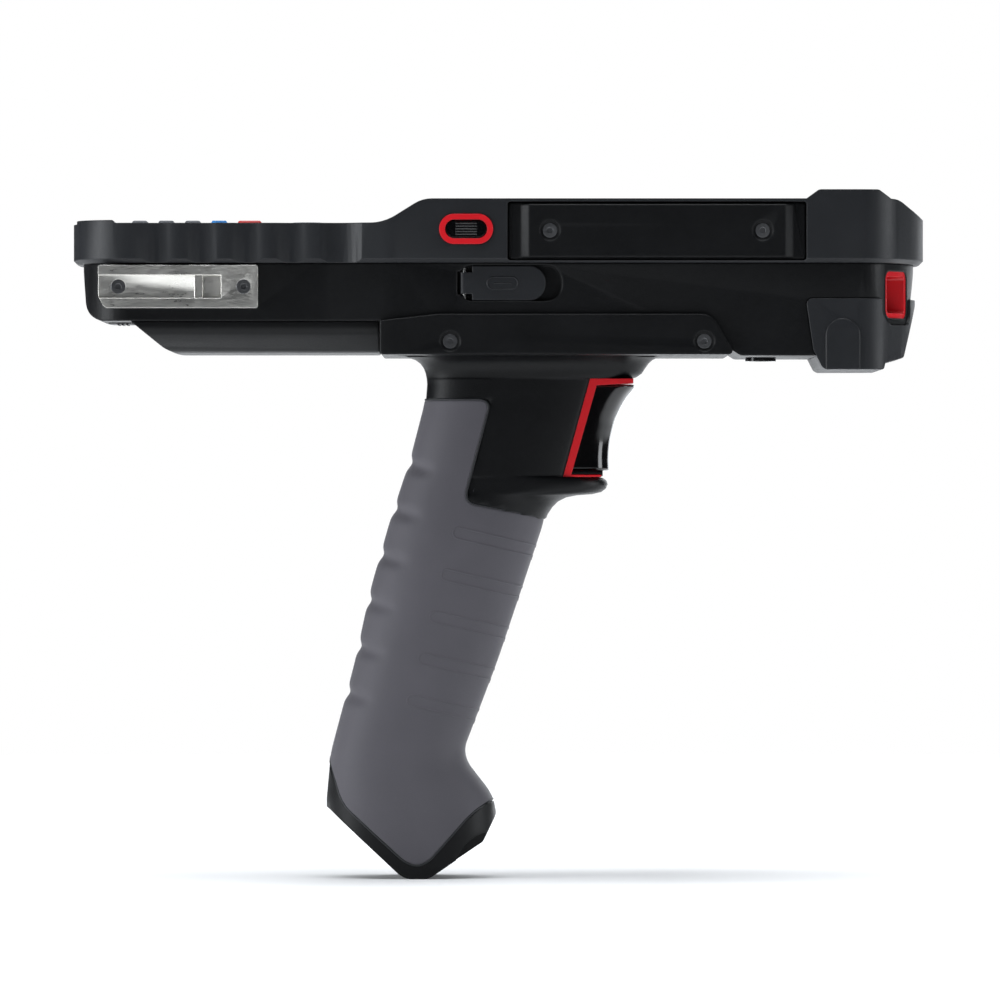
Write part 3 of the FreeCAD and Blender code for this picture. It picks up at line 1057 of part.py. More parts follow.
def make_trigger_spring():
    """Torsion coil on the pin: rings side by side, with one leg against the shell."""
    rings = []
    for turn in range(SPRING_TURNS):
        y = (turn - (SPRING_TURNS - 1) / 2) * 2 * SPRING_WIRE
        rings.append(Part.makeTorus(SPRING_RADIUS, SPRING_WIRE * 1.2, Vector(TRIGGER_PIN_X, y, TRIGGER_PIN_Z),
                                    Vector(0, 1, 0)))
    leg_y = (SPRING_TURNS - 1) * SPRING_WIRE
    leg = round_bar(Vector(TRIGGER_PIN_X + SPRING_WIRE, leg_y, TRIGGER_PIN_Z + SPRING_RADIUS), Vector(-1, 0, 0),
                    SPRING_WIRE, SPRING_LEG)
    parts["trigger_spring"] = joined(rings + [leg])


def make_trigger_switch():
    """Micro switch behind the trigger's lower half, with its plunger."""
    body = box(SWITCH_X - SWITCH_LENGTH, SWITCH_X, -SWITCH_HALF, SWITCH_HALF, SWITCH_Z - SWITCH_HEIGHT / 2,
               SWITCH_Z + SWITCH_HEIGHT / 2)
    plunger = round_bar(Vector(SWITCH_X, 0, SWITCH_Z), Vector(1, 0, 0), 0.8, SWITCH_PLUNGER)
    parts["trigger_switch"] = joined([body, plunger])


def make_contact_block():
    """Spring-contact block on the saddle's floor that feeds the handle's switch into the housing."""
    block = box(CONTACT_X - 6.0, CONTACT_X + 6.0, -4.0, 4.0, SADDLE_SEAT_Z, SADDLE_SEAT_Z + HOUSING_WALL + 1.2)
    parts["contact_block"] = block


def make_battery_latch():
    """Sliding latch in the housing's underside that locks the pack's foot."""
    start = BATTERY_START - LATCH_SETBACK
    body = box(start - LATCH_LENGTH, start, -LATCH_WIDTH / 2, LATCH_WIDTH / 2,
               KEY_BOTTOM_Z - LATCH_PROUD, KEY_BOTTOM_Z - LATCH_PROUD + LATCH_HEIGHT)
    rib_x = start - LATCH_LENGTH / 2
    ribs = [box(rib_x + offset - 0.3, rib_x + offset + 0.3, -LATCH_WIDTH / 2 + 2, LATCH_WIDTH / 2 - 2,
                KEY_BOTTOM_Z - LATCH_PROUD - 0.4, KEY_BOTTOM_Z - LATCH_PROUD) for offset in (-1.2, 0.0, 1.2)]
    parts["battery_latch"] = joined([body] + ribs)


def latch_slot():
    """Slot in the underside in which the latch slides away from the pack."""
    start = BATTERY_START - LATCH_SETBACK
    return box(start - LATCH_LENGTH - LATCH_TRAVEL - LATCH_GAP, start + LATCH_GAP,
               -LATCH_WIDTH / 2 - LATCH_GAP, LATCH_WIDTH / 2 + LATCH_GAP,
               KEY_BOTTOM_Z - 5.0, KEY_BOTTOM_Z - LATCH_PROUD + LATCH_HEIGHT + LATCH_GAP)


def write_parts():
    """One STEP file per piece."""
    os.makedirs("parts", exist_ok=True)
    for name, shape in parts.items():
        shape.exportStep(f"parts/{name}.step")


def main():
    """Make every piece and write it."""
    make_keys()
    make_screws()
    make_side_cover()
    make_side_button()
    make_dock_rail()
    make_front_bumper()
    make_front_housing()
    make_display()
    make_main_board()
    make_battery_pack()
    make_rear_housing()
    make_port_socket()
    make_port_flap("port_flap", "flap_pin", lambda shape: shape)
    make_head_boot()
    make_scan_window()
    make_camera()
    make_handle()
    make_trigger()
    make_trigger_spring()
    make_trigger_switch()
    make_contact_block()
    make_battery_latch()
    write_parts()


main()
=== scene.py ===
import json
import math

import bmesh
import bpy
import numpy as np
from bpy.props import FloatProperty, FloatVectorProperty, PointerProperty
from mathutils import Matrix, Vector


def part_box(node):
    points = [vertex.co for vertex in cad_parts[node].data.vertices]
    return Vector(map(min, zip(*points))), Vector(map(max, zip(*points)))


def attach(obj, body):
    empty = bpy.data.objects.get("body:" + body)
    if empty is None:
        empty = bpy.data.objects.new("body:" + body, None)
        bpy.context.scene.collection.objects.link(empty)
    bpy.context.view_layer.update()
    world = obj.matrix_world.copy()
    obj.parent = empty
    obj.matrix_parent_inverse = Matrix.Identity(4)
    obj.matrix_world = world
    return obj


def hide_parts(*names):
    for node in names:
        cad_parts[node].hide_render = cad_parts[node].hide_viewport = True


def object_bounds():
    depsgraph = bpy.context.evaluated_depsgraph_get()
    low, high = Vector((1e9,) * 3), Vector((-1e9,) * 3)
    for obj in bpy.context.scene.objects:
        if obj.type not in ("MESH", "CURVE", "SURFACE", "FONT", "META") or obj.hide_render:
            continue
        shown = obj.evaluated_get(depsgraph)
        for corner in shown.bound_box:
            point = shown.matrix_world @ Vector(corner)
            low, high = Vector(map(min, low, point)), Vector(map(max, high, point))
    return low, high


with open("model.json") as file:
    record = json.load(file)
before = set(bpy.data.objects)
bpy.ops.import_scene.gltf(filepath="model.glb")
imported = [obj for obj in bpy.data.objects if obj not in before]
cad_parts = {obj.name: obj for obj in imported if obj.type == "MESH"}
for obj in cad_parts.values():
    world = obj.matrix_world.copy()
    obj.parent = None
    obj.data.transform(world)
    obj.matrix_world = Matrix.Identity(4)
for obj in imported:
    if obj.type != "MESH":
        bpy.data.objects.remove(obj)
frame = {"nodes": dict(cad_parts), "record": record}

bl_info = {
    "name": "Handheld computer with scan grip",
    "version": (1, 0, 0),
    "blender": (4, 5, 0),
    "location": "3D View > Sidebar > Handheld",
    "description": "Pieces, finishes and studio for a rugged handheld computer on a pistol grip",
    "category": "Object",
}

MM = 0.001
RECORD = frame["record"]
SLOT_OF = {row["node"]: row["material_slot"] for row in RECORD["subparts"]}
BODY_OF = {node: body for body, nodes in RECORD["behaviour"]["bodies"].items() for node in nodes}
SIDES = {"right": -1, "left": 1}
SADDLE_CUT = 0.1446         # height above which the handle shells show as the saddle
RAIL_EDGE_SHARE = 0.6       # rail's edge rounding as a share of the plates'
CAP_EDGE_SHARE = 0.7        # end cap's edge rounding as a share of the bumper's
MERGE_CAD = 2e-6
MERGE_GRID = 1e-6
FLAT_ANGLE = 0.8            # degrees below which neighbouring faces are one
CAD_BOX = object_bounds()


def linear(code):
    """Linear colour of an sRGB hex value such as #c8141c."""
    values = [int(code[i:i + 2], 16) / 255 for i in (1, 3, 5)]
    return [v / 12.92 if v <= 0.04045 else ((v + 0.055) / 1.055) ** 2.4 for v in values]


def colour(label, code):
    """Colour setting with an sRGB default."""
    return FloatVectorProperty(name=label, description=f"{label} of the finished part", subtype="COLOR",
                               size=3, min=0, max=1, default=linear(code))


def length(label, description, value_mm):
    """Length setting in metres with a default in millimetres."""
    return FloatProperty(name=label, description=description, unit="LENGTH", default=value_mm * MM, min=0)


class FinishSettings(bpy.types.PropertyGroup):
    """Colours of the finishes."""
    rubber: colour("Bumper rubber", "#15171b")
    plastic: colour("Housing plastic", "#08090b")
    grip: colour("Grip rubber", "#525056")
    red: colour("Red plastic", "#d0131f")
    rail: colour("Rail metal", "#e6e4de")
    steel: colour("Screw steel", "#77787a")
    key_grey: colour("Grey keys", "#55575c")
    key_blue: colour("Blue key", "#1a78c0")
    key_red: colour("Red key", "#b3241f")
    legend: colour("Key legends", "#e8e8e4")


class SizeSettings(bpy.types.PropertyGroup):
    """Sizes that the looks add to the frame."""
    bumper_edge: length("Bumper edge", "Rounding of the rubber bumper's edges", 0.9)
    housing_edge: length("Housing edge", "Rounding of the housings' edges", 0.35)
    plate_edge: length("Plate edge", "Rounding of the cover plates' edges", 0.25)
    key_edge: length("Key edge", "Rounding of the keycaps' edges", 0.45)
    legend_height: length("Legend height", "Height of a keycap's number", 3.0)


# ---------------------------------------------------------------- node and material making
def add_node(tree, kind, values=None, links=None, **settings):
    """Adds a node, sets its properties, its sockets' values, and links its sockets from (node, output) pairs."""
    item = tree.nodes.new(kind)
    for name, value in settings.items():
        setattr(item, name, value)
    for name, value in (values or {}).items():
        item.inputs[name].default_value = value
    for name, (source, output) in (links or {}).items():
        tree.links.new(source.outputs[output], item.inputs[name])
    return item


def ramp(tree, source, output, low, high, start, end):
    """Grey ramp from low to high as the source goes from start to end."""
    span = {"From Min": start, "From Max": end, "To Min": low, "To Max": high}
    return add_node(tree, "ShaderNodeMapRange", span, {"Value": (source, output)})


def moulded(name, shade, rough, grain_mm, grain_height_mm, sheen=0.0, coat=0.0, ior=1.5, patch_mm=14.0,
            patch=0.06, tone=0.16, metal=0.0, edge_mm=0.0, specular=0.5, stretch=(1.0, 1.0, 1.0)):
    """Material with a fine grain of a real size: noise of that size tilts the surface and shifts its roughness,
    and a slow noise of patch_mm shifts colour and roughness as handling and mould flow do."""
    material = bpy.data.materials.new(name)
    material.use_nodes = True
    tree = material.node_tree
    tree.nodes.clear()
    place = add_node(tree, "ShaderNodeTexCoord")
    turned = add_node(tree, "ShaderNodeMapping", {"Scale": stretch}, {"Vector": (place, "Object")})
    grain = add_node(tree, "ShaderNodeTexNoise", {"Scale": 1 / (grain_mm * MM), "Detail": 2.0, "Roughness": 0.55},
                     {"Vector": (turned, "Vector")})
    flow = add_node(tree, "ShaderNodeTexNoise", {"Scale": 1 / (patch_mm * MM), "Detail": 3.0, "Roughness": 0.5},
                    {"Vector": (place, "Object")})
    fine = ramp(tree, grain, "Fac", rough - patch, rough + patch, 0.3, 0.7)
    slow = ramp(tree, flow, "Fac", -patch / 2, patch / 2, 0.3, 0.7)
    both = add_node(tree, "ShaderNodeMath", links={0: (fine, "Result"), 1: (slow, "Result")}, operation="ADD")
    light = [min(1.0, c * (1 + tone)) for c in shade] + [1.0]
    dark = [c * (1 - tone) for c in shade] + [1.0]
    amount = ramp(tree, flow, "Fac", 0.0, 1.0, 0.3, 0.7)
    mix = add_node(tree, "ShaderNodeMix", data_type="RGBA")
    tree.links.new(amount.outputs["Result"], mix.inputs["Factor"])
    mix.inputs[6].default_value = dark
    mix.inputs[7].default_value = light
    bump_links = {"Height": (grain, "Fac")}
    if edge_mm:
        edge = add_node(tree, "ShaderNodeBevel", {"Radius": edge_mm * MM}, samples=6)
        bump_links["Normal"] = (edge, "Normal")
    bump = add_node(tree, "ShaderNodeBump", {"Strength": 1.0, "Distance": grain_height_mm * MM}, bump_links)
    shader = add_node(tree, "ShaderNodeBsdfPrincipled", {
        "Metallic": metal, "Sheen Weight": sheen, "Coat Weight": coat, "Coat Roughness": 0.08,
        "Specular IOR Level": specular},
        {"Roughness": (both, "Value"), "Normal": (bump, "Normal")})
    if not metal:
        shader.inputs["IOR"].default_value = ior
    tree.links.new(mix.outputs[2], shader.inputs["Base Color"])
    add_node(tree, "ShaderNodeOutputMaterial", links={"Surface": (shader, "BSDF")})
    return material


def make_materials():
    """Every finish, by the record's slot."""
    tints = bpy.context.scene.handheld_finish
    return {
        # Satin moulded TPU rubber: near black with a cool cast and a soft wide highlight.
        "black_rubber": moulded("tpu_rubber_moulded", tints.rubber, 0.5, 0.35, 0.012, patch=0.05, tone=0.1,
                                edge_mm=0.5, specular=0.4),
        "seal_rubber": moulded("silicone_seal_moulded", tints.rubber, 0.6, 0.3, 0.01),
        # Spark-eroded PC-ABS: each grain of the mould's texture catches a point of light.
        "black_plastic": moulded("pc_abs_spark_textured", tints.plastic, 0.44, 0.42, 0.03, patch=0.05, tone=0.15,
                                 edge_mm=0.8, specular=0.22),
        # Soft-touch TPE overmoulding: mid grey, no clear highlight, a faint velvet edge.
        "grey_rubber": moulded("tpe_soft_touch_overmoulded", tints.grip, 0.66, 0.4, 0.02, sheen=0.12, patch=0.05,
                               tone=0.05, specular=0.35),
        # Polished polycarbonate: deep black with a sharp, slightly wavy highlight.
        "gloss_black": moulded("polycarbonate_polished", linear("#050506"), 0.14, 3.0, 0.004, patch=0.02, tone=0.1,
                               coat=0.3, edge_mm=0.4),
        # Satin moulded red PC: saturated, lightly glossy.
        "red_plastic": moulded("polycarbonate_red_satin", tints.red, 0.34, 0.5, 0.006, patch=0.03, tone=0.06,
                               edge_mm=0.2),
        # Zinc die casting under satin nickel: pale, fine cast ripple, brushed along its length.
        "rail_metal": moulded("zinc_die_cast_satin_nickel", tints.rail, 0.34, 0.5, 0.008, metal=1.0, tone=0.06,
                              edge_mm=0.2, stretch=(0.25, 1.0, 1.0)),
        "engine_metal": moulded("aluminium_black_anodised", linear("#2a2a2e"), 0.4, 0.3, 0.006, metal=1.0),
        "steel": moulded("stainless_steel_drawn", linear("#b9b9b6"), 0.28, 0.3, 0.004, metal=1.0),
        "dark_steel": moulded("steel_zinc_nickel_plated", tints.steel, 0.36, 0.3, 0.006, metal=1.0, edge_mm=0.12),
        "key_grey": moulded("silicone_keycap_grey", tints.key_grey, 0.55, 0.35, 0.008, tone=0.05, edge_mm=0.3),
        "key_blue": moulded("silicone_keycap_blue", tints.key_blue, 0.5, 0.35, 0.008, tone=0.05, edge_mm=0.3),
        "key_red": moulded("silicone_keycap_red", tints.key_red, 0.5, 0.35, 0.008, tone=0.05, edge_mm=0.3),
        "legend": moulded("laser_etched_legend_white", tints.legend, 0.6, 0.2, 0.004, tone=0.03),
        # Dark tempered glass with the display's black mask behind it.
        "display_glass": moulded("aluminosilicate_glass_polished", linear("#0a0b0e"), 0.05, 20.0, 0.002, patch=0.015,
                                 coat=0.5, tone=0.1, ior=1.52),
        "display_panel": moulded("lcd_panel_polarised", linear("#10141c"), 0.2, 8.0, 0.001, patch=0.03, tone=0.2),
        "window_glass": moulded("acrylic_filter_red", linear("#3a0206"), 0.06, 6.0, 0.002, patch=0.01, coat=0.4),
        "circuit_board": moulded("glass_epoxy_laminate", linear("#0e4a22"), 0.35, 0.6, 0.01),
    }


# ---------------------------------------------------------------- mesh making
def finish_mesh(name, work, material, body, stands_for=(), angle=35.0):
    """Turns a bmesh into a piece at the origin, smooth up to an edge angle, riding on a body."""
    bmesh.ops.recalc_face_normals(work, faces=work.faces)
    mesh = bpy.data.meshes.new(name)
    work.to_mesh(mesh)
    work.free()
    mesh.shade_smooth()
    mesh.set_sharp_from_angle(angle=math.radians(angle))
    item = bpy.data.objects.new(name, mesh)
    bpy.context.scene.collection.objects.link(item)
    mesh.materials.append(material)
    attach(item, body)
    if stands_for:
        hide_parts(*stands_for)
    return item


def round_edges(item, width, segments=3, angle=32.0):
    """Bevels a piece's edges sharper than an angle."""
    bevel = item.modifiers.new("round", "BEVEL")
    bevel.limit_method = "ANGLE"
    bevel.angle_limit = math.radians(angle)
    bevel.width = width
    bevel.segments = segments
    bevel.use_clamp_overlap = True
    bevel.harden_normals = True
    bevel.miter_outer = "MITER_ARC"
    return bevel


def dressed(name, nodes, width, segments=3, keep_above=None, angle=32.0):
    """One piece from the shapes of CAD nodes: loose triangles are merged, flat ones joined, and edges rounded."""
    work = bmesh.new()
    for node in nodes:
        work.from_mesh(frame["nodes"][node].data)
    bmesh.ops.remove_doubles(work, verts=work.verts, dist=MERGE_CAD)
    if keep_above is not None:
        everything = work.verts[:] + work.edges[:] + work.faces[:]
        cut = bmesh.ops.bisect_plane(work, geom=everything, plane_co=(0, 0, keep_above), plane_no=(0, 0, 1),
                                     clear_inner=True)["geom_cut"]
        open_edges = [part for part in cut if isinstance(part, bmesh.types.BMEdge)]
        bmesh.ops.triangle_fill(work, use_beauty=True, use_dissolve=False, edges=open_edges)
    bmesh.ops.dissolve_limit(work, angle_limit=math.radians(FLAT_ANGLE), verts=work.verts, edges=work.edges)
    slot = SLOT_OF[nodes[0]]
    item = finish_mesh(name, work, MATERIALS[slot], BODY_OF[nodes[0]], nodes)
    if width:
        round_edges(item, width, segments, angle)
    return item


# ---------------------------------------------------------------- surfaces worked out with numpy
def grid_faces(rows, columns, closed):
    """Quads of a rows by columns grid of points; closed joins the last column to the first."""
    row = np.arange(rows - 1)[:, None] * columns
    column = np.arange(columns if closed else columns - 1)[None, :]
    after = (column + 1) % columns
    return np.stack([row + column, row + after, row + columns + after, row + columns + column], -1).reshape(-1, 4)


def grid_piece(name, points, slot, body, closed=True, caps=False, stands_for=(), angle=50.0, finish=None):
    """Piece from a rows by columns by 3 grid of points in millimetres; caps closes its first and last rows."""
    rows, columns = points.shape[:2]
    faces = grid_faces(rows, columns, closed).tolist()
    if caps:
        faces += [list(range(columns)), list(range((rows - 1) * columns, rows * columns))]
    mesh = bpy.data.meshes.new("shape")
    mesh.from_pydata((points.reshape(-1, 3) * MM).tolist(), [], faces)
    work = bmesh.new()
    work.from_mesh(mesh)
    bpy.data.meshes.remove(mesh)
    bmesh.ops.remove_doubles(work, verts=work.verts, dist=MERGE_GRID)
    return finish_mesh(name, work, MATERIALS[finish or slot], body, stands_for, angle)


def rounded_path(corners, step, reach):
    """Path of points step apart along straight runs, with its corners rounded by averaging over reach."""
    corners = np.array(corners, float)
    at = np.concatenate([[0], np.cumsum(np.linalg.norm(np.diff(corners, axis=0), axis=1))])
    place = np.arange(0, at[-1], step)
    spread = np.linspace(-reach, reach, 15)
    wanted = np.clip(place[:, None] + spread * np.minimum(1, np.minimum(place, at[-1] - place) / reach)[:, None],
                     0, at[-1])
    return np.stack([np.interp(wanted, at, corners[:, k]).mean(1) for k in range(2)], -1)


def along(path, share):
    """Points at shares from 0 to 1 of a path's length."""
    at = np.concatenate([[0], np.cumsum(np.linalg.norm(np.diff(path, axis=0), axis=1))])
    return np.stack([np.interp(share * at[-1], at, path[:, k]) for k in range(path.shape[1])], -1)


def bead(name, path, out, radius, slot, body, sink=0.0, closed=True, sides=8, finish=None):
    """Round bar of a radius along a path on a surface, its middle sunk below the surface along out."""
    ahead = np.roll(path, -1, 0) - np.roll(path, 1, 0)
    if not closed:
        ahead[0], ahead[-1] = path[1] - path[0], path[-1] - path[-2]
    ahead /= np.linalg.norm(ahead, axis=1, keepdims=True)
    across = np.cross(ahead, out)
    across /= np.linalg.norm(across, axis=1, keepdims=True)
    up = np.cross(across, ahead)
    turn = np.linspace(0, 2 * np.pi, sides, endpoint=False)[None, :, None]
    points = (path - up * sink)[:, None] + radius * (np.cos(turn) * across[:, None] + np.sin(turn) * up[:, None])
    if closed:
        points = np.concatenate([points, points[:1]])
    return grid_piece(name, points, slot, body, caps=not closed, finish=finish)


# Grip's form: height, back x, front x, half width; a section is a superellipse.
GRIP_FORM = np.array((
    (-2.0, -48.0, 0.5, 17.6), (22.0, -47.9, -1.0, 18.2), (34.0, -46.8, -10.4, 17.4), (60.0, -39.9, -0.5, 16.4),
    (80.0, -35.6, 6.2, 16.0), (100.0, -29.9, 12.8, 15.8), (116.0, -24.6, 14.0, 15.4), (133.0, -20.2, 14.0, 15.0),
    (142.0, -19.6, 14.0, 15.0)))
GRIP_POWER = 2.5
GRIP_SMOOTH = 3.5
SLEEVE_PROUD = 0.15
SLEEVE_EDGE = 0.7
SLEEVE_WALL = 1.9
FOOT_PACE = ((0, 0.26, 0.67, 1), (0, 0.2, 0.48, 1))
GROOVES = 115.3 - 12.74 * np.arange(6)
GROOVE_DEPTH = 0.95
GROOVE_WIDTH = 1.7
SLEEVE_TOP = ((-20.4, 132.9), (-2.1, 132.9), (-9.7, 104.4), (13.6, 99.9))
SLEEVE_FOOT = ((-47.4, 34.0), (-43.4, 20.6), (-24.8, 3.6), (-20.4, 3.6), (-7.4, 18.4), (-1.6, 21.8))
PILL_STARTS = [(-12.6 - 3.18 * i, 96.2 - 11.6 * i) for i in range(5)]
PILL_SLOPE = -0.23
PILL_RADIUS = 1.6


def grip_form(z):
    """Back x, front x and half width at heights z, averaged over a few millimetres so that it turns smoothly."""
    spread = np.linspace(-GRIP_SMOOTH, GRIP_SMOOTH, 9)
    return [np.interp(z[..., None] + spread, GRIP_FORM[:, 0], GRIP_FORM[:, k]).mean(-1) for k in (1, 2, 3)]


def grip_angle(x, z):
    """Section angle, 0 at the back and pi at the front, at which the grip's section reaches x."""
    back, front, _ = grip_form(z)
    share = np.clip(((back + front) / 2 - x) / ((front - back) / 2), -1, 1)
    return np.arccos(np.sign(share) * np.abs(share) ** (GRIP_POWER / 2))


def grip_point(angle, z, side, lift):
    """Point on the grip's section, |x/a|^p + |y/b|^p = 1, raised by lift along the section's normal."""
    back, front, half = grip_form(z)
    reach = (front - back) / 2
    c, s = np.cos(angle), np.abs(np.sin(angle))
    u = -np.sign(c) * np.abs(c) ** (2 / GRIP_POWER)
    v = s ** (2 / GRIP_POWER)
    out = np.stack([np.sign(u) * np.abs(u) ** (GRIP_POWER - 1) / reach, v ** (GRIP_POWER - 1) / half], -1)
    out /= np.linalg.norm(out, axis=-1, keepdims=True)
    x = (back + front) / 2 + reach * u + lift * out[..., 0]
    y = side * (half * v + lift * out[..., 1])
    return np.stack([x, y, z], -1), np.stack([out[..., 0], side * out[..., 1], np.zeros_like(z)], -1)


def sleeve_edges():
    """The sleeve's upper and lower edges as (angle, height) columns, from the back to the front."""
    share = np.linspace(0, 1, 120)
    edges = []
    for corners in (SLEEVE_TOP, SLEEVE_FOOT):
        paced = np.interp(share, *FOOT_PACE) if corners is SLEEVE_FOOT else share
        path = along(rounded_path(corners, 0.25, 3.4), paced)
        angle = grip_angle(path[:, 0], path[:, 1])
        angle[0], angle[-1] = 0, np.pi
        edges.append(np.stack([np.maximum.accumulate(angle) if corners is SLEEVE_FOOT else angle, path[:, 1]], -1))
    return edges


def both_sides(angle, z, lift):
    """Ring of the right half from back to front, then the left half back again."""
    right, right_out = grip_point(angle, z, -1, lift)
    left, left_out = grip_point(angle, z, 1, lift)
    return [np.concatenate([a, b[..., -2:0:-1, :]], -2) for a, b in ((right, left), (right_out, left_out))]


def groove_lift(angle, z):
    """Depth of the finger grooves across the back: a bell curve in height at each groove, fading round the flank."""
    fade = np.clip((1.12 - angle) / 0.5, 0, 1)
    fade = fade * fade * (3 - 2 * fade)
    gap = z[..., None] - (GROOVES - 2.2 * angle[..., None])
    return -GROOVE_DEPTH * fade * np.exp(-(gap / GROOVE_WIDTH) ** 2).sum(-1)


def make_sleeve():
    """Soft sleeve: ruled in angle and height between its two edges, grooved at the back, its edges rolled in."""
    top, foot = sleeve_edges()
    ends = np.array([0, 0.002, 0.004, 0.007, 0.011])
    share = np.concatenate([ends, np.linspace(0.016, 0.984, 168), 1 - ends[::-1]])[:, None]
    angle = foot[:, 0] + (top[:, 0] - foot[:, 0]) * share
    z = foot[:, 1] + (top[:, 1] - foot[:, 1]) * share
    flat, _ = grip_point(angle, z, -1, 0 * z)
    rim = np.concatenate([flat[0], flat[-1]])
    gap = np.sqrt(((flat[:, :, None] - rim[None, None]) ** 2).sum(-1).min(-1))
    near = np.clip(SLEEVE_EDGE - gap, 0, SLEEVE_EDGE)
    roll = SLEEVE_EDGE - np.sqrt(SLEEVE_EDGE ** 2 - near ** 2)
    points, _ = both_sides(angle, z, SLEEVE_PROUD - roll + groove_lift(angle, z))
    sleeve = grid_piece("grip_sleeve_skin", points, "grey_rubber", "terminal", stands_for=["grip_sleeve"], angle=60)
    wall = sleeve.modifiers.new("wall", "SOLIDIFY")
    wall.thickness = SLEEVE_WALL * MM
    wall.offset = -1
    for name, edge in (("upper", top), ("lower", foot)):
        path, out = both_sides(edge[:, 0], edge[:, 1], 0 * edge[:, 1])
        bead(f"sleeve_joint_{name}", path, out, 0.36, "seal_rubber", "terminal", sink=0.12)
    for index, (x, z) in enumerate(PILL_STARTS):
        make_pill(f"grip_pill_{index + 1}", x, z)


def make_pill(name, x_start, z_start):
    """Raised outline of a long pill that wraps round the grip's front: two parallel lines joined by half circles."""
    front = grip_form(np.array([z_start]))[1][0] + 2.0
    x = np.linspace(x_start + PILL_RADIUS, front, 50)
    z = z_start + PILL_SLOPE * (x - x_start)
    turn = np.linspace(np.pi / 2, 3 * np.pi / 2, 14)[1:-1]
    x_end = x[0] + PILL_RADIUS * np.cos(turn)
    z_end = z[0] + PILL_RADIUS * np.sin(turn)
    halves = []
    for side in (-1, 1):
        loop_x = np.concatenate([x[::-1], x_end, x])
        loop_z = np.concatenate([z[::-1] + PILL_RADIUS, z_end, z - PILL_RADIUS])
        angle = grip_angle(loop_x, loop_z)
        halves.append(grip_point(angle, loop_z, side, 0 * loop_z + SLEEVE_PROUD))
    path = np.concatenate([halves[0][0], halves[1][0][::-1]])
    out = np.concatenate([halves[0][1], halves[1][1][::-1]])
    keep = np.concatenate([[True], np.linalg.norm(np.diff(path, axis=0), axis=1) > 0.05])
    bead(name, path[keep], out[keep], 0.34, "grey_rubber", "terminal", sink=0.2, sides=6)


# Neck's form: height, back x, front x, half width, section power, and x of the trigger pocket's floor or its front.
NECK_ROWS = (
    (96.6, -30.9, 12.0, 15.9, 2.5, 0), (99.0, -30.2, 12.9, 15.85, 2.5, 0), (101.0, -29.5, 13.7, 15.8, 2.5, 0),
    (103.0, -28.9, 15.0, 15.75, 2.6, 0), (104.6, -28.4, 16.6, 15.7, 2.6, 0), (105.7, -28.0, 18.8, 15.65, 2.7, 0),
    (106.3, -27.8, 21.8, 15.6, 2.7, 0), (106.6, -27.7, 26.0, 15.6, 2.7, 0), (107.2, -27.5, 28.6, 15.6, 2.7, 0),
    (108.2, -27.2, 29.9, 15.5, 2.8, 0), (109.4, -26.8, 30.4, 15.5, 2.8, 0), (110.4, -26.5, 30.1, 15.45, 2.8, 0),
    (111.1, -26.2, 29.2, 15.4, 2.8, 0), (111.4, -26.1, 28.0, 15.4, 2.8, 0), (111.4, -26.1, 17.9, 15.4, 2.9, 10.5),
    (112.0, -25.9, 18.1, 15.4, 2.9, 10.5), (116.0, -24.6, 19.2, 15.3, 3.0, 10.5),
    (122.0, -23.0, 20.8, 15.2, 3.1, 10.5), (128.0, -21.4, 22.5, 15.1, 3.2, 11.0), (133.0, -20.2, 23.8, 15.0, 3.2, 11.5),
    (137.2, -19.9, 25.0, 15.0, 3.2, 12.0), (138.7, -20.0, 25.4, 15.0, 3.2, 12.0),
    (138.7, -20.0, 36.8, 15.0, 3.2, 0), (139.2, -20.1, 38.4, 15.1, 3.2, 0), (140.2, -20.3, 39.9, 15.2, 3.2, 0),
    (141.6, -20.8, 40.8, 15.5, 3.2, 0), (143.0, -21.8, 41.8, 16.2, 3.2, 0), (144.0, -23.2, 42.9, 17.4, 3.2, 0),
    (144.7, -25.2, 44.4, 19.0, 3.2, 0), (145.2, -28.2, 46.6, 21.5, 3.2, 0))
POCKET_HALF = 12.6
BEZEL_LINE = ((111.4, 138.7), (17.9, 25.4))
UNDER_SLEEVE = 1.3
UNDER_STEP = 1.0


def sleeve_cover(x, z):
    """How far a point lies inside the sleeve's side view, in mm: behind its slanted edge, or below its front one."""
    (_, top), (_, _), (low_x, low_z), (front_x, front_z) = SLEEVE_TOP
    edge_x = np.interp(z, (low_z, top), (low_x, SLEEVE_TOP[1][0]))
    edge_z = low_z + (x - low_x) * (front_z - low_z) / (front_x - low_x)
    return np.maximum(np.minimum(edge_x - x, top - z), edge_z - z)


def neck_rows(step):
    """Neck rows with more between the given ones, straight in every value; ledges and pocket ends stay sharp."""
    rows = []
    for low, high in zip(NECK_ROWS, NECK_ROWS[1:]):
        count = max(1, int((high[0] - low[0]) / step))
        share = np.arange(count)[:, None] / count
        rows.append(np.array(low) + share * (np.array(high) - np.array(low)))
    return np.concatenate(rows + [np.array(NECK_ROWS[-1:])])


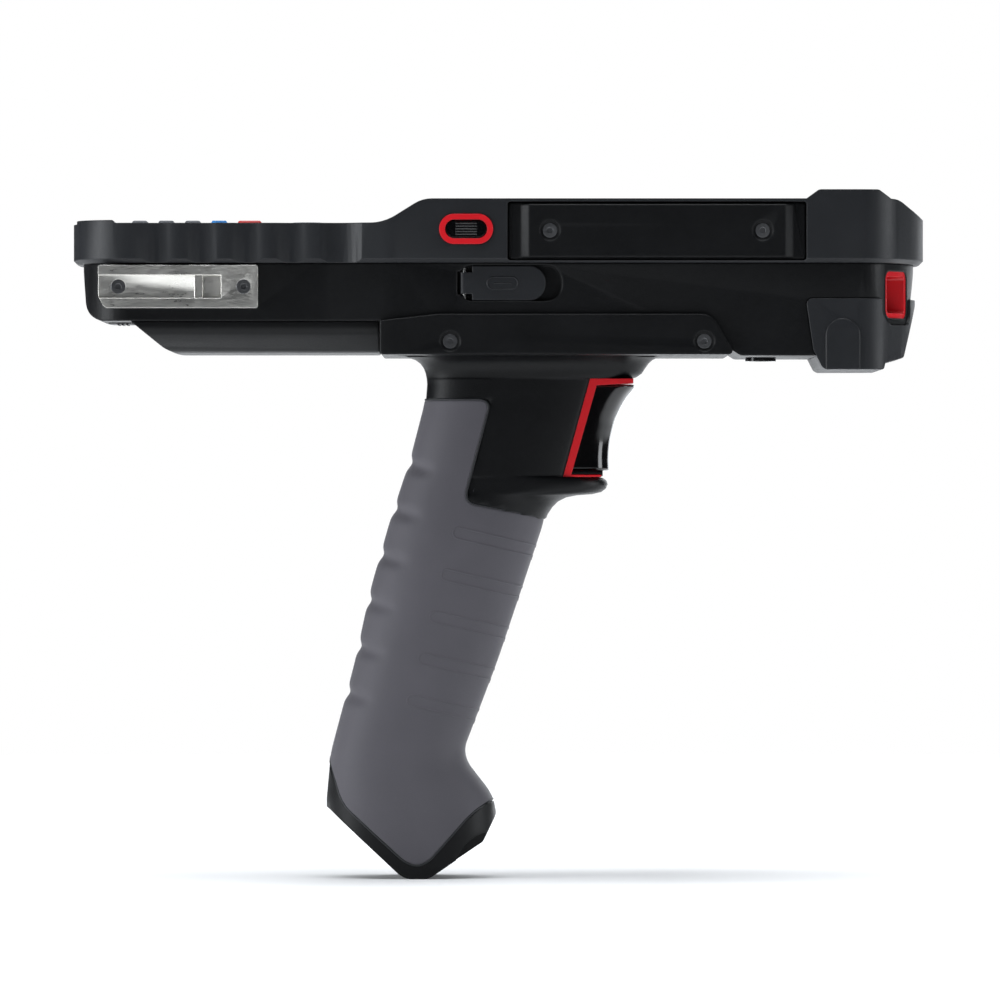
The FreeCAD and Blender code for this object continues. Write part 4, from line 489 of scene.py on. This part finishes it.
def make_neck():
    """Black neck: superellipse sections stacked in height, with a square pocket in the front for the trigger, and
    drawn in by a smooth step where the sleeve covers it."""
    rows = neck_rows(0.7)
    z, back, front, half, power, pocket = [rows[:, k][:, None] for k in range(6)]
    wide = (1 - (POCKET_HALF / half) ** power) ** (1 / power) / 2
    behind_bezel = (np.interp(z, *BEZEL_LINE) - (0.5 - wide) * back) / (0.5 + wide)
    front = np.where(pocket > 1, behind_bezel, front)
    middle, reach = (back + front) / 2, (front - back) / 2
    limit = np.arccos(-((1 - (POCKET_HALF / half) ** power) ** 0.5))
    turn = np.linspace(0, 1, 90)[None, :] * limit
    c, s = np.cos(turn), np.sin(turn)
    x = middle - np.sign(c) * reach * np.abs(c) ** (2 / power)
    y = -half * s ** (2 / power)
    across = np.linspace(-POCKET_HALF, POCKET_HALF, 25)[None, :]
    nose = middle + reach * (1 - np.abs(across / half) ** power) ** (1 / power)
    nose = np.where(pocket > 1, pocket, nose)
    across = across + 0 * nose
    x = np.concatenate([x, nose, x[:, -1:0:-1]], 1)
    y = np.concatenate([y, across, -y[:, -1:0:-1]], 1)
    covered = np.clip(sleeve_cover(x, z + 0 * x) / UNDER_STEP, 0, 1)
    shrink = UNDER_SLEEVE * covered * covered * (3 - 2 * covered)
    x = middle + (x - middle) * (1 - shrink / reach)
    y = y * (1 - shrink / half)
    points = np.stack([x, y, z + 0 * x], -1)
    grid_piece("neck", points, "black_plastic", "terminal", caps=True, angle=38)
    sizes = bpy.context.scene.handheld_sizes
    for side in SIDES:
        dressed(f"saddle_{side}", [f"handle_shell_{side}"], sizes.housing_edge, keep_above=SADDLE_CUT)


# Ledges inside the bezel's lower strips, beside the trigger's foot: side offset, height, radius, start x, end x.
LEDGE = (11.3, 112.45, 0.85, 17.6, 28.9)


def make_ledges():
    """Rounded ledge inside the pocket on either side of the trigger, clear of it as it swings."""
    y, z, radius, start, end = LEDGE
    x = np.linspace(start, end, 12)
    for name, side in SIDES.items():
        path, out = face_line(np.stack([x, np.full(12, z)], -1), side * y)
        bead(f"pocket_ledge_{name}", path, out, radius, "black_plastic", "terminal", 0.0, False, sides=12)


# Trigger's form: height, back x, front x.
TRIGGER_ROWS = np.array((
    (113.1, 17.4, 31.1), (116.8, 17.9, 30.9), (121.7, 18.8, 31.3), (127.6, 19.8, 32.7), (132.5, 21.0, 35.0),
    (135.4, 22.2, 37.2), (136.4, 22.6, 38.2), (137.1, 23.0, 38.9)))
TRIGGER_HALF = 9.6
TRIGGER_NOSE = 6.0
TRIGGER_EDGE = 0.7


def make_trigger():
    """Trigger: a flat-sided section whose front is a half superellipse, stacked up a hollow front line."""
    low, high = TRIGGER_ROWS[0, 0], TRIGGER_ROWS[-1, 0]
    edge = TRIGGER_EDGE * (1 - np.cos(np.linspace(0, np.pi / 2, 5)[:-1]))
    z = np.concatenate([low + edge, np.linspace(low + TRIGGER_EDGE, high - TRIGGER_EDGE, 44), high - edge[::-1]])
    near = np.clip(TRIGGER_EDGE - np.minimum(z - low, high - z), 0, TRIGGER_EDGE)
    roll = (TRIGGER_EDGE - np.sqrt(TRIGGER_EDGE ** 2 - near ** 2))[:, None]
    smooth = z[:, None] + np.linspace(-1.6, 1.6, 7)
    back, front = [np.interp(smooth, TRIGGER_ROWS[:, 0], TRIGGER_ROWS[:, k]).mean(1)[:, None] for k in (1, 2)]
    back, front, half = back + roll, front - roll, TRIGGER_HALF - roll
    turn = np.linspace(0, np.pi / 2, 22)[None, :]
    x = front - TRIGGER_NOSE + TRIGGER_NOSE * np.cos(turn) ** (2 / 2.3)
    y = -half * np.sin(turn) ** (2 / 2.3)
    side_x = np.linspace(0, 1, 8)[None, 1:] * (back - (front - TRIGGER_NOSE)) + (front - TRIGGER_NOSE)
    side_y = -half + 0 * side_x
    x, y = np.concatenate([x, side_x], 1), np.concatenate([y, side_y], 1)
    points = np.stack([np.concatenate([x, x[:, :0:-1]], 1), np.concatenate([y, -y[:, :0:-1]], 1),
                       z[:, None] + np.zeros((1, 2 * x.shape[1] - 1))], -1)
    grid_piece("trigger_skin", points, "gloss_black", "trigger", caps=True, stands_for=["trigger"], angle=45)


# Connector mark: a pill outline round a short bar, generic for a small reversible plug.
MARK_HALF = (4.2, 1.7)
MARK_BAR = 2.4
MARK_BEAD = 0.28
RIB_SPACING = 0.75
RIB_BEAD = 0.2
RIB_END = 2.6
DIGIT_BEAD = 0.24
DIGIT_ROUND = 0.35
# A digit's strokes in one line, on a field 2 wide and 3 high.
DIGITS = {
    "0": ((2, 3), (0, 3), (0, 0), (2, 0), (2, 2.7)), "1": ((0.3, 2.3), (1, 3), (1, 0)),
    "2": ((0, 3), (2, 3), (2, 1.6), (0, 1.2), (0, 0), (2, 0)),
    "3": ((0, 3), (2, 3), (0.8, 1.7), (2, 1.4), (2, 0), (0, 0)), "4": ((1.5, 0), (1.5, 3), (0, 1), (2, 1)),
    "5": ((2, 3), (0, 3), (0, 1.7), (2, 1.7), (2, 0), (0, 0)),
    "6": ((2, 3), (0, 3), (0, 0), (2, 0), (2, 1.6), (0.3, 1.6)), "7": ((0, 3), (2, 3), (0.8, 0)),
    "8": ((2, 1.6), (2, 3), (0, 3), (0, 1.6), (2, 1.5), (2, 0), (0, 0), (0, 1.3)),
    "9": ((0, 0), (2, 0), (2, 3), (0, 3), (0, 1.5), (1.7, 1.5))}
NUMBERED = {f"key_{4 - k % 3}_{4 - k // 3}": str(k + 1) for k in range(9)} | {"key_3_1": "0"}


def face_line(points, y):
    """Points of the side view as a path on a flank at y, with the flank's normals."""
    side = np.sign(y)
    path = np.stack([points[:, 0], np.full(len(points), y), points[:, 1]], -1)
    return path, np.tile([0.0, side, 0.0], (len(points), 1))


def make_mark():
    """Raised connector mark on the port's flap: a pill outline, x = a cos t with its ends widened, and a bar."""
    low, high = [np.array(corner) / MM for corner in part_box("port_flap")]
    middle = np.array([(low[0] + high[0]) / 2, (low[2] + high[2]) / 2])
    turn = np.linspace(0, 2 * np.pi, 48, endpoint=False)
    half_long, half_high = MARK_HALF
    shift = (half_long - half_high) * np.sign(np.cos(turn))
    outline = middle + np.stack([shift + half_high * np.cos(turn), half_high * np.sin(turn)], -1)
    bar = middle + np.stack([np.linspace(-MARK_BAR, MARK_BAR, 12), np.zeros(12)], -1)
    for name, line, closed in (("outline", outline, True), ("bar", bar, False)):
        path, out = face_line(line, low[1])
        bead(f"flap_mark_{name}", path, out, MARK_BEAD, SLOT_OF["port_flap"], "port_flap", 0.1, closed)


def make_ribs(side):
    """Grip ribs along a side button's face."""
    node = f"side_button_{side}"
    low, high = [np.array(corner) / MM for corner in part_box(node)]
    face = low[1] if side == "right" else high[1]
    x = np.linspace(low[0] + RIB_END, high[0] - RIB_END, 16)
    for index in range(-2, 3):
        height = (low[2] + high[2]) / 2 + index * RIB_SPACING
        path, out = face_line(np.stack([x, np.full(16, height)], -1), face)
        bead(f"rib_{side}_{index + 3}", path, out, RIB_BEAD, SLOT_OF[node], BODY_OF[node], 0.08, False)


def make_number(node, digit):
    """A keycap's number: one rounded stroke lying on its top, upright towards the display."""
    low, high = [np.array(corner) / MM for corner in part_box(node)]
    scale = bpy.context.scene.handheld_sizes.legend_height / MM / 3
    stroke = (np.array(DIGITS[digit], float) - (1, 1.5)) * scale
    line = rounded_path(stroke, 0.12, DIGIT_ROUND)
    middle = (low + high) / 2
    path = np.stack([middle[0] + line[:, 1], middle[1] - line[:, 0], np.full(len(line), high[2])], -1)
    out = np.tile([0.0, 0.0, 1.0], (len(line), 1))
    bead(f"number_{node}", path, out, DIGIT_BEAD, SLOT_OF[node], BODY_OF[node], 0.12, False, finish="legend")


MATERIALS = {}


class HANDHELD_OT_finishes(bpy.types.Operator):
    """Make the finishes and put them on the frame's parts"""
    bl_idname = "handheld.finishes"
    bl_label = "Finishes"

    def execute(self, context):
        MATERIALS.update(make_materials())
        for node, item in frame["nodes"].items():
            item.data.materials.clear()
            item.data.materials.append(MATERIALS[SLOT_OF[node]])
        return {"FINISHED"}


class HANDHELD_OT_housings(bpy.types.Operator):
    """Make the bumper, housings, boot and battery with rounded edges"""
    bl_idname = "handheld.housings"
    bl_label = "Housings"

    def execute(self, context):
        sizes = context.scene.handheld_sizes
        dressed("bumper", ["front_bumper"], sizes.bumper_edge)
        dressed("deck", ["front_housing"], sizes.housing_edge)
        dressed("lower_housing", ["rear_housing"], sizes.housing_edge)
        dressed("boot", ["head_boot"], sizes.housing_edge)
        dressed("battery", ["battery_pack"], sizes.housing_edge)
        for side in SIDES:
            dressed(f"cover_{side}", [f"side_cover_{side}"], sizes.plate_edge)
            dressed(f"rail_{side}", [f"dock_rail_{side}"], sizes.plate_edge * RAIL_EDGE_SHARE)
        return {"FINISHED"}


class HANDHELD_OT_keys(bpy.types.Operator):
    """Make the keycaps with rounded edges and their numbers"""
    bl_idname = "handheld.keys"
    bl_label = "Keypad"

    def execute(self, context):
        edge = context.scene.handheld_sizes.key_edge
        for node in sorted(frame["nodes"]):
            if node.startswith("key_") or node == "scan_key":
                dressed(f"cap_{node}", [node], edge)
        for node, digit in NUMBERED.items():
            make_number(node, digit)
        return {"FINISHED"}


class HANDHELD_OT_trims(bpy.types.Operator):
    """Make the flap's connector mark and the side buttons' ribs"""
    bl_idname = "handheld.trims"
    bl_label = "Trims"

    def execute(self, context):
        make_mark()
        for side in SIDES:
            make_ribs(side)
        return {"FINISHED"}


class HANDHELD_OT_handle(bpy.types.Operator):
    """Make the grip's sleeve, the neck, the saddle and the trigger"""
    bl_idname = "handheld.handle"
    bl_label = "Handle"

    def execute(self, context):
        make_sleeve()
        make_neck()
        make_ledges()
        make_trigger()
        dressed("foot_cap", ["grip_cap"], context.scene.handheld_sizes.bumper_edge * CAP_EDGE_SHARE)
        return {"FINISHED"}


class HANDHELD_OT_studio(bpy.types.Operator):
    """Make the floor, the lights and the camera"""
    bl_idname = "handheld.studio"
    bl_label = "Studio"

    def execute(self, context):
        make_studio(context.scene)
        return {"FINISHED"}


def make_floor(low):
    """Pale floor that fades into the white surround away from the object."""
    reach = 1.5
    mesh = bpy.data.meshes.new("floor")
    mesh.from_pydata([(-reach, -reach, low), (reach, -reach, low), (reach, reach, low), (-reach, reach, low)], [],
                     [(0, 1, 2, 3)])
    paint = moulded("painted_studio_floor", linear("#fafafa"), 0.85, 400.0, 0.01, patch_mm=900.0, tone=0.005)
    tree = paint.node_tree
    output = next(n for n in tree.nodes if n.type == "OUTPUT_MATERIAL")
    shader = next(n for n in tree.nodes if n.type == "BSDF_PRINCIPLED")
    place = add_node(tree, "ShaderNodeTexCoord")
    far = add_node(tree, "ShaderNodeVectorMath", links={0: (place, "Object")}, operation="LENGTH")
    fade = ramp(tree, far, "Value", 0.0, 1.0, 0.45, 1.3)
    clear = add_node(tree, "ShaderNodeBsdfTransparent")
    mix = add_node(tree, "ShaderNodeMixShader", links={"Fac": (fade, "Result"), 1: (shader, "BSDF"),
                                                       2: (clear, "BSDF")})
    tree.links.new(mix.outputs["Shader"], output.inputs["Surface"])
    mesh.materials.append(paint)
    floor = bpy.data.objects.new("floor", mesh)
    bpy.context.scene.collection.objects.link(floor)


def make_world(scene):
    """White surround as seen, with a dim cool light from it."""
    world = bpy.data.worlds.new("studio")
    world.use_nodes = True
    tree = world.node_tree
    tree.nodes.clear()
    rays = add_node(tree, "ShaderNodeLightPath")
    seen = add_node(tree, "ShaderNodeBackground", {"Color": (1.0, 1.0, 1.0, 1.0), "Strength": 1.0})
    cast = add_node(tree, "ShaderNodeBackground", {"Color": (0.82, 0.88, 1.0, 1.0), "Strength": 0.03})
    mix = add_node(tree, "ShaderNodeMixShader", links={"Fac": (rays, "Is Camera Ray"), 1: (cast, "Background"),
                                                       2: (seen, "Background")})
    add_node(tree, "ShaderNodeOutputWorld", links={"Surface": (mix, "Shader")})
    scene.world = world


# Soft boxes: name, place, size and power.
LIGHTS = (
    ("left_box", (-1.6, -0.5, 0.3), 1.0, 24.0), ("right_box", (1.6, -0.3, 0.3), 0.8, 10.0),
    ("top_box", (0.0, -0.05, 1.6), 1.5, 40.0), ("back_box", (0.3, 1.5, 0.5), 1.4, 14.0))


def make_studio(scene):
    """Floor, surround, soft boxes at the sides, above and behind, and the camera."""
    make_floor(CAD_BOX[0].z)
    make_world(scene)
    for name, place, size, power in LIGHTS:
        light = bpy.data.lights.new(name, "AREA")
        light.size = size
        light.energy = power
        light.color = (0.94, 0.97, 1.0)
        lamp = bpy.data.objects.new(name, light)
        lamp.location = place
        lamp.rotation_euler = (Vector((0, 0, 0.12)) - Vector(place)).to_track_quat("-Z", "Y").to_euler()
        lamp.visible_camera = False
        scene.collection.objects.link(lamp)
    camera = bpy.data.cameras.new("camera")
    camera.lens = 341.0
    camera.sensor_width = 36.0
    item = bpy.data.objects.new("camera", camera)
    item.location = (0.0004, -2.64, 0.105)
    item.rotation_euler = (math.radians(90), 0, 0)
    scene.collection.objects.link(item)
    scene.camera = item
    scene.view_settings.view_transform = "Standard"


class HANDHELD_PT_panel(bpy.types.Panel):
    """Buttons that make the handheld computer's pieces"""
    bl_label = "Handheld computer"
    bl_idname = "HANDHELD_PT_panel"
    bl_space_type = "VIEW_3D"
    bl_region_type = "UI"
    bl_category = "Handheld"

    def draw(self, context):
        for operator in OPERATORS:
            self.layout.operator(operator.bl_idname)
        for settings in (context.scene.handheld_finish, context.scene.handheld_sizes):
            for name in settings.__annotations__:
                self.layout.prop(settings, name)


OPERATORS = (HANDHELD_OT_finishes, HANDHELD_OT_housings, HANDHELD_OT_keys, HANDHELD_OT_trims, HANDHELD_OT_handle,
             HANDHELD_OT_studio)
CLASSES = (FinishSettings, SizeSettings, *OPERATORS, HANDHELD_PT_panel)


def register():
    for item in CLASSES:
        bpy.utils.register_class(item)
    bpy.types.Scene.handheld_finish = PointerProperty(type=FinishSettings)
    bpy.types.Scene.handheld_sizes = PointerProperty(type=SizeSettings)


def unregister():
    del bpy.types.Scene.handheld_sizes
    del bpy.types.Scene.handheld_finish
    for item in reversed(CLASSES):
        bpy.utils.unregister_class(item)


def main():
    """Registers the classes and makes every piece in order."""
    register()
    bpy.ops.handheld.finishes()
    bpy.ops.handheld.housings()
    bpy.ops.handheld.keys()
    bpy.ops.handheld.trims()
    bpy.ops.handheld.handle()
    bpy.ops.handheld.studio()


if __name__ == "__main__":
    main()
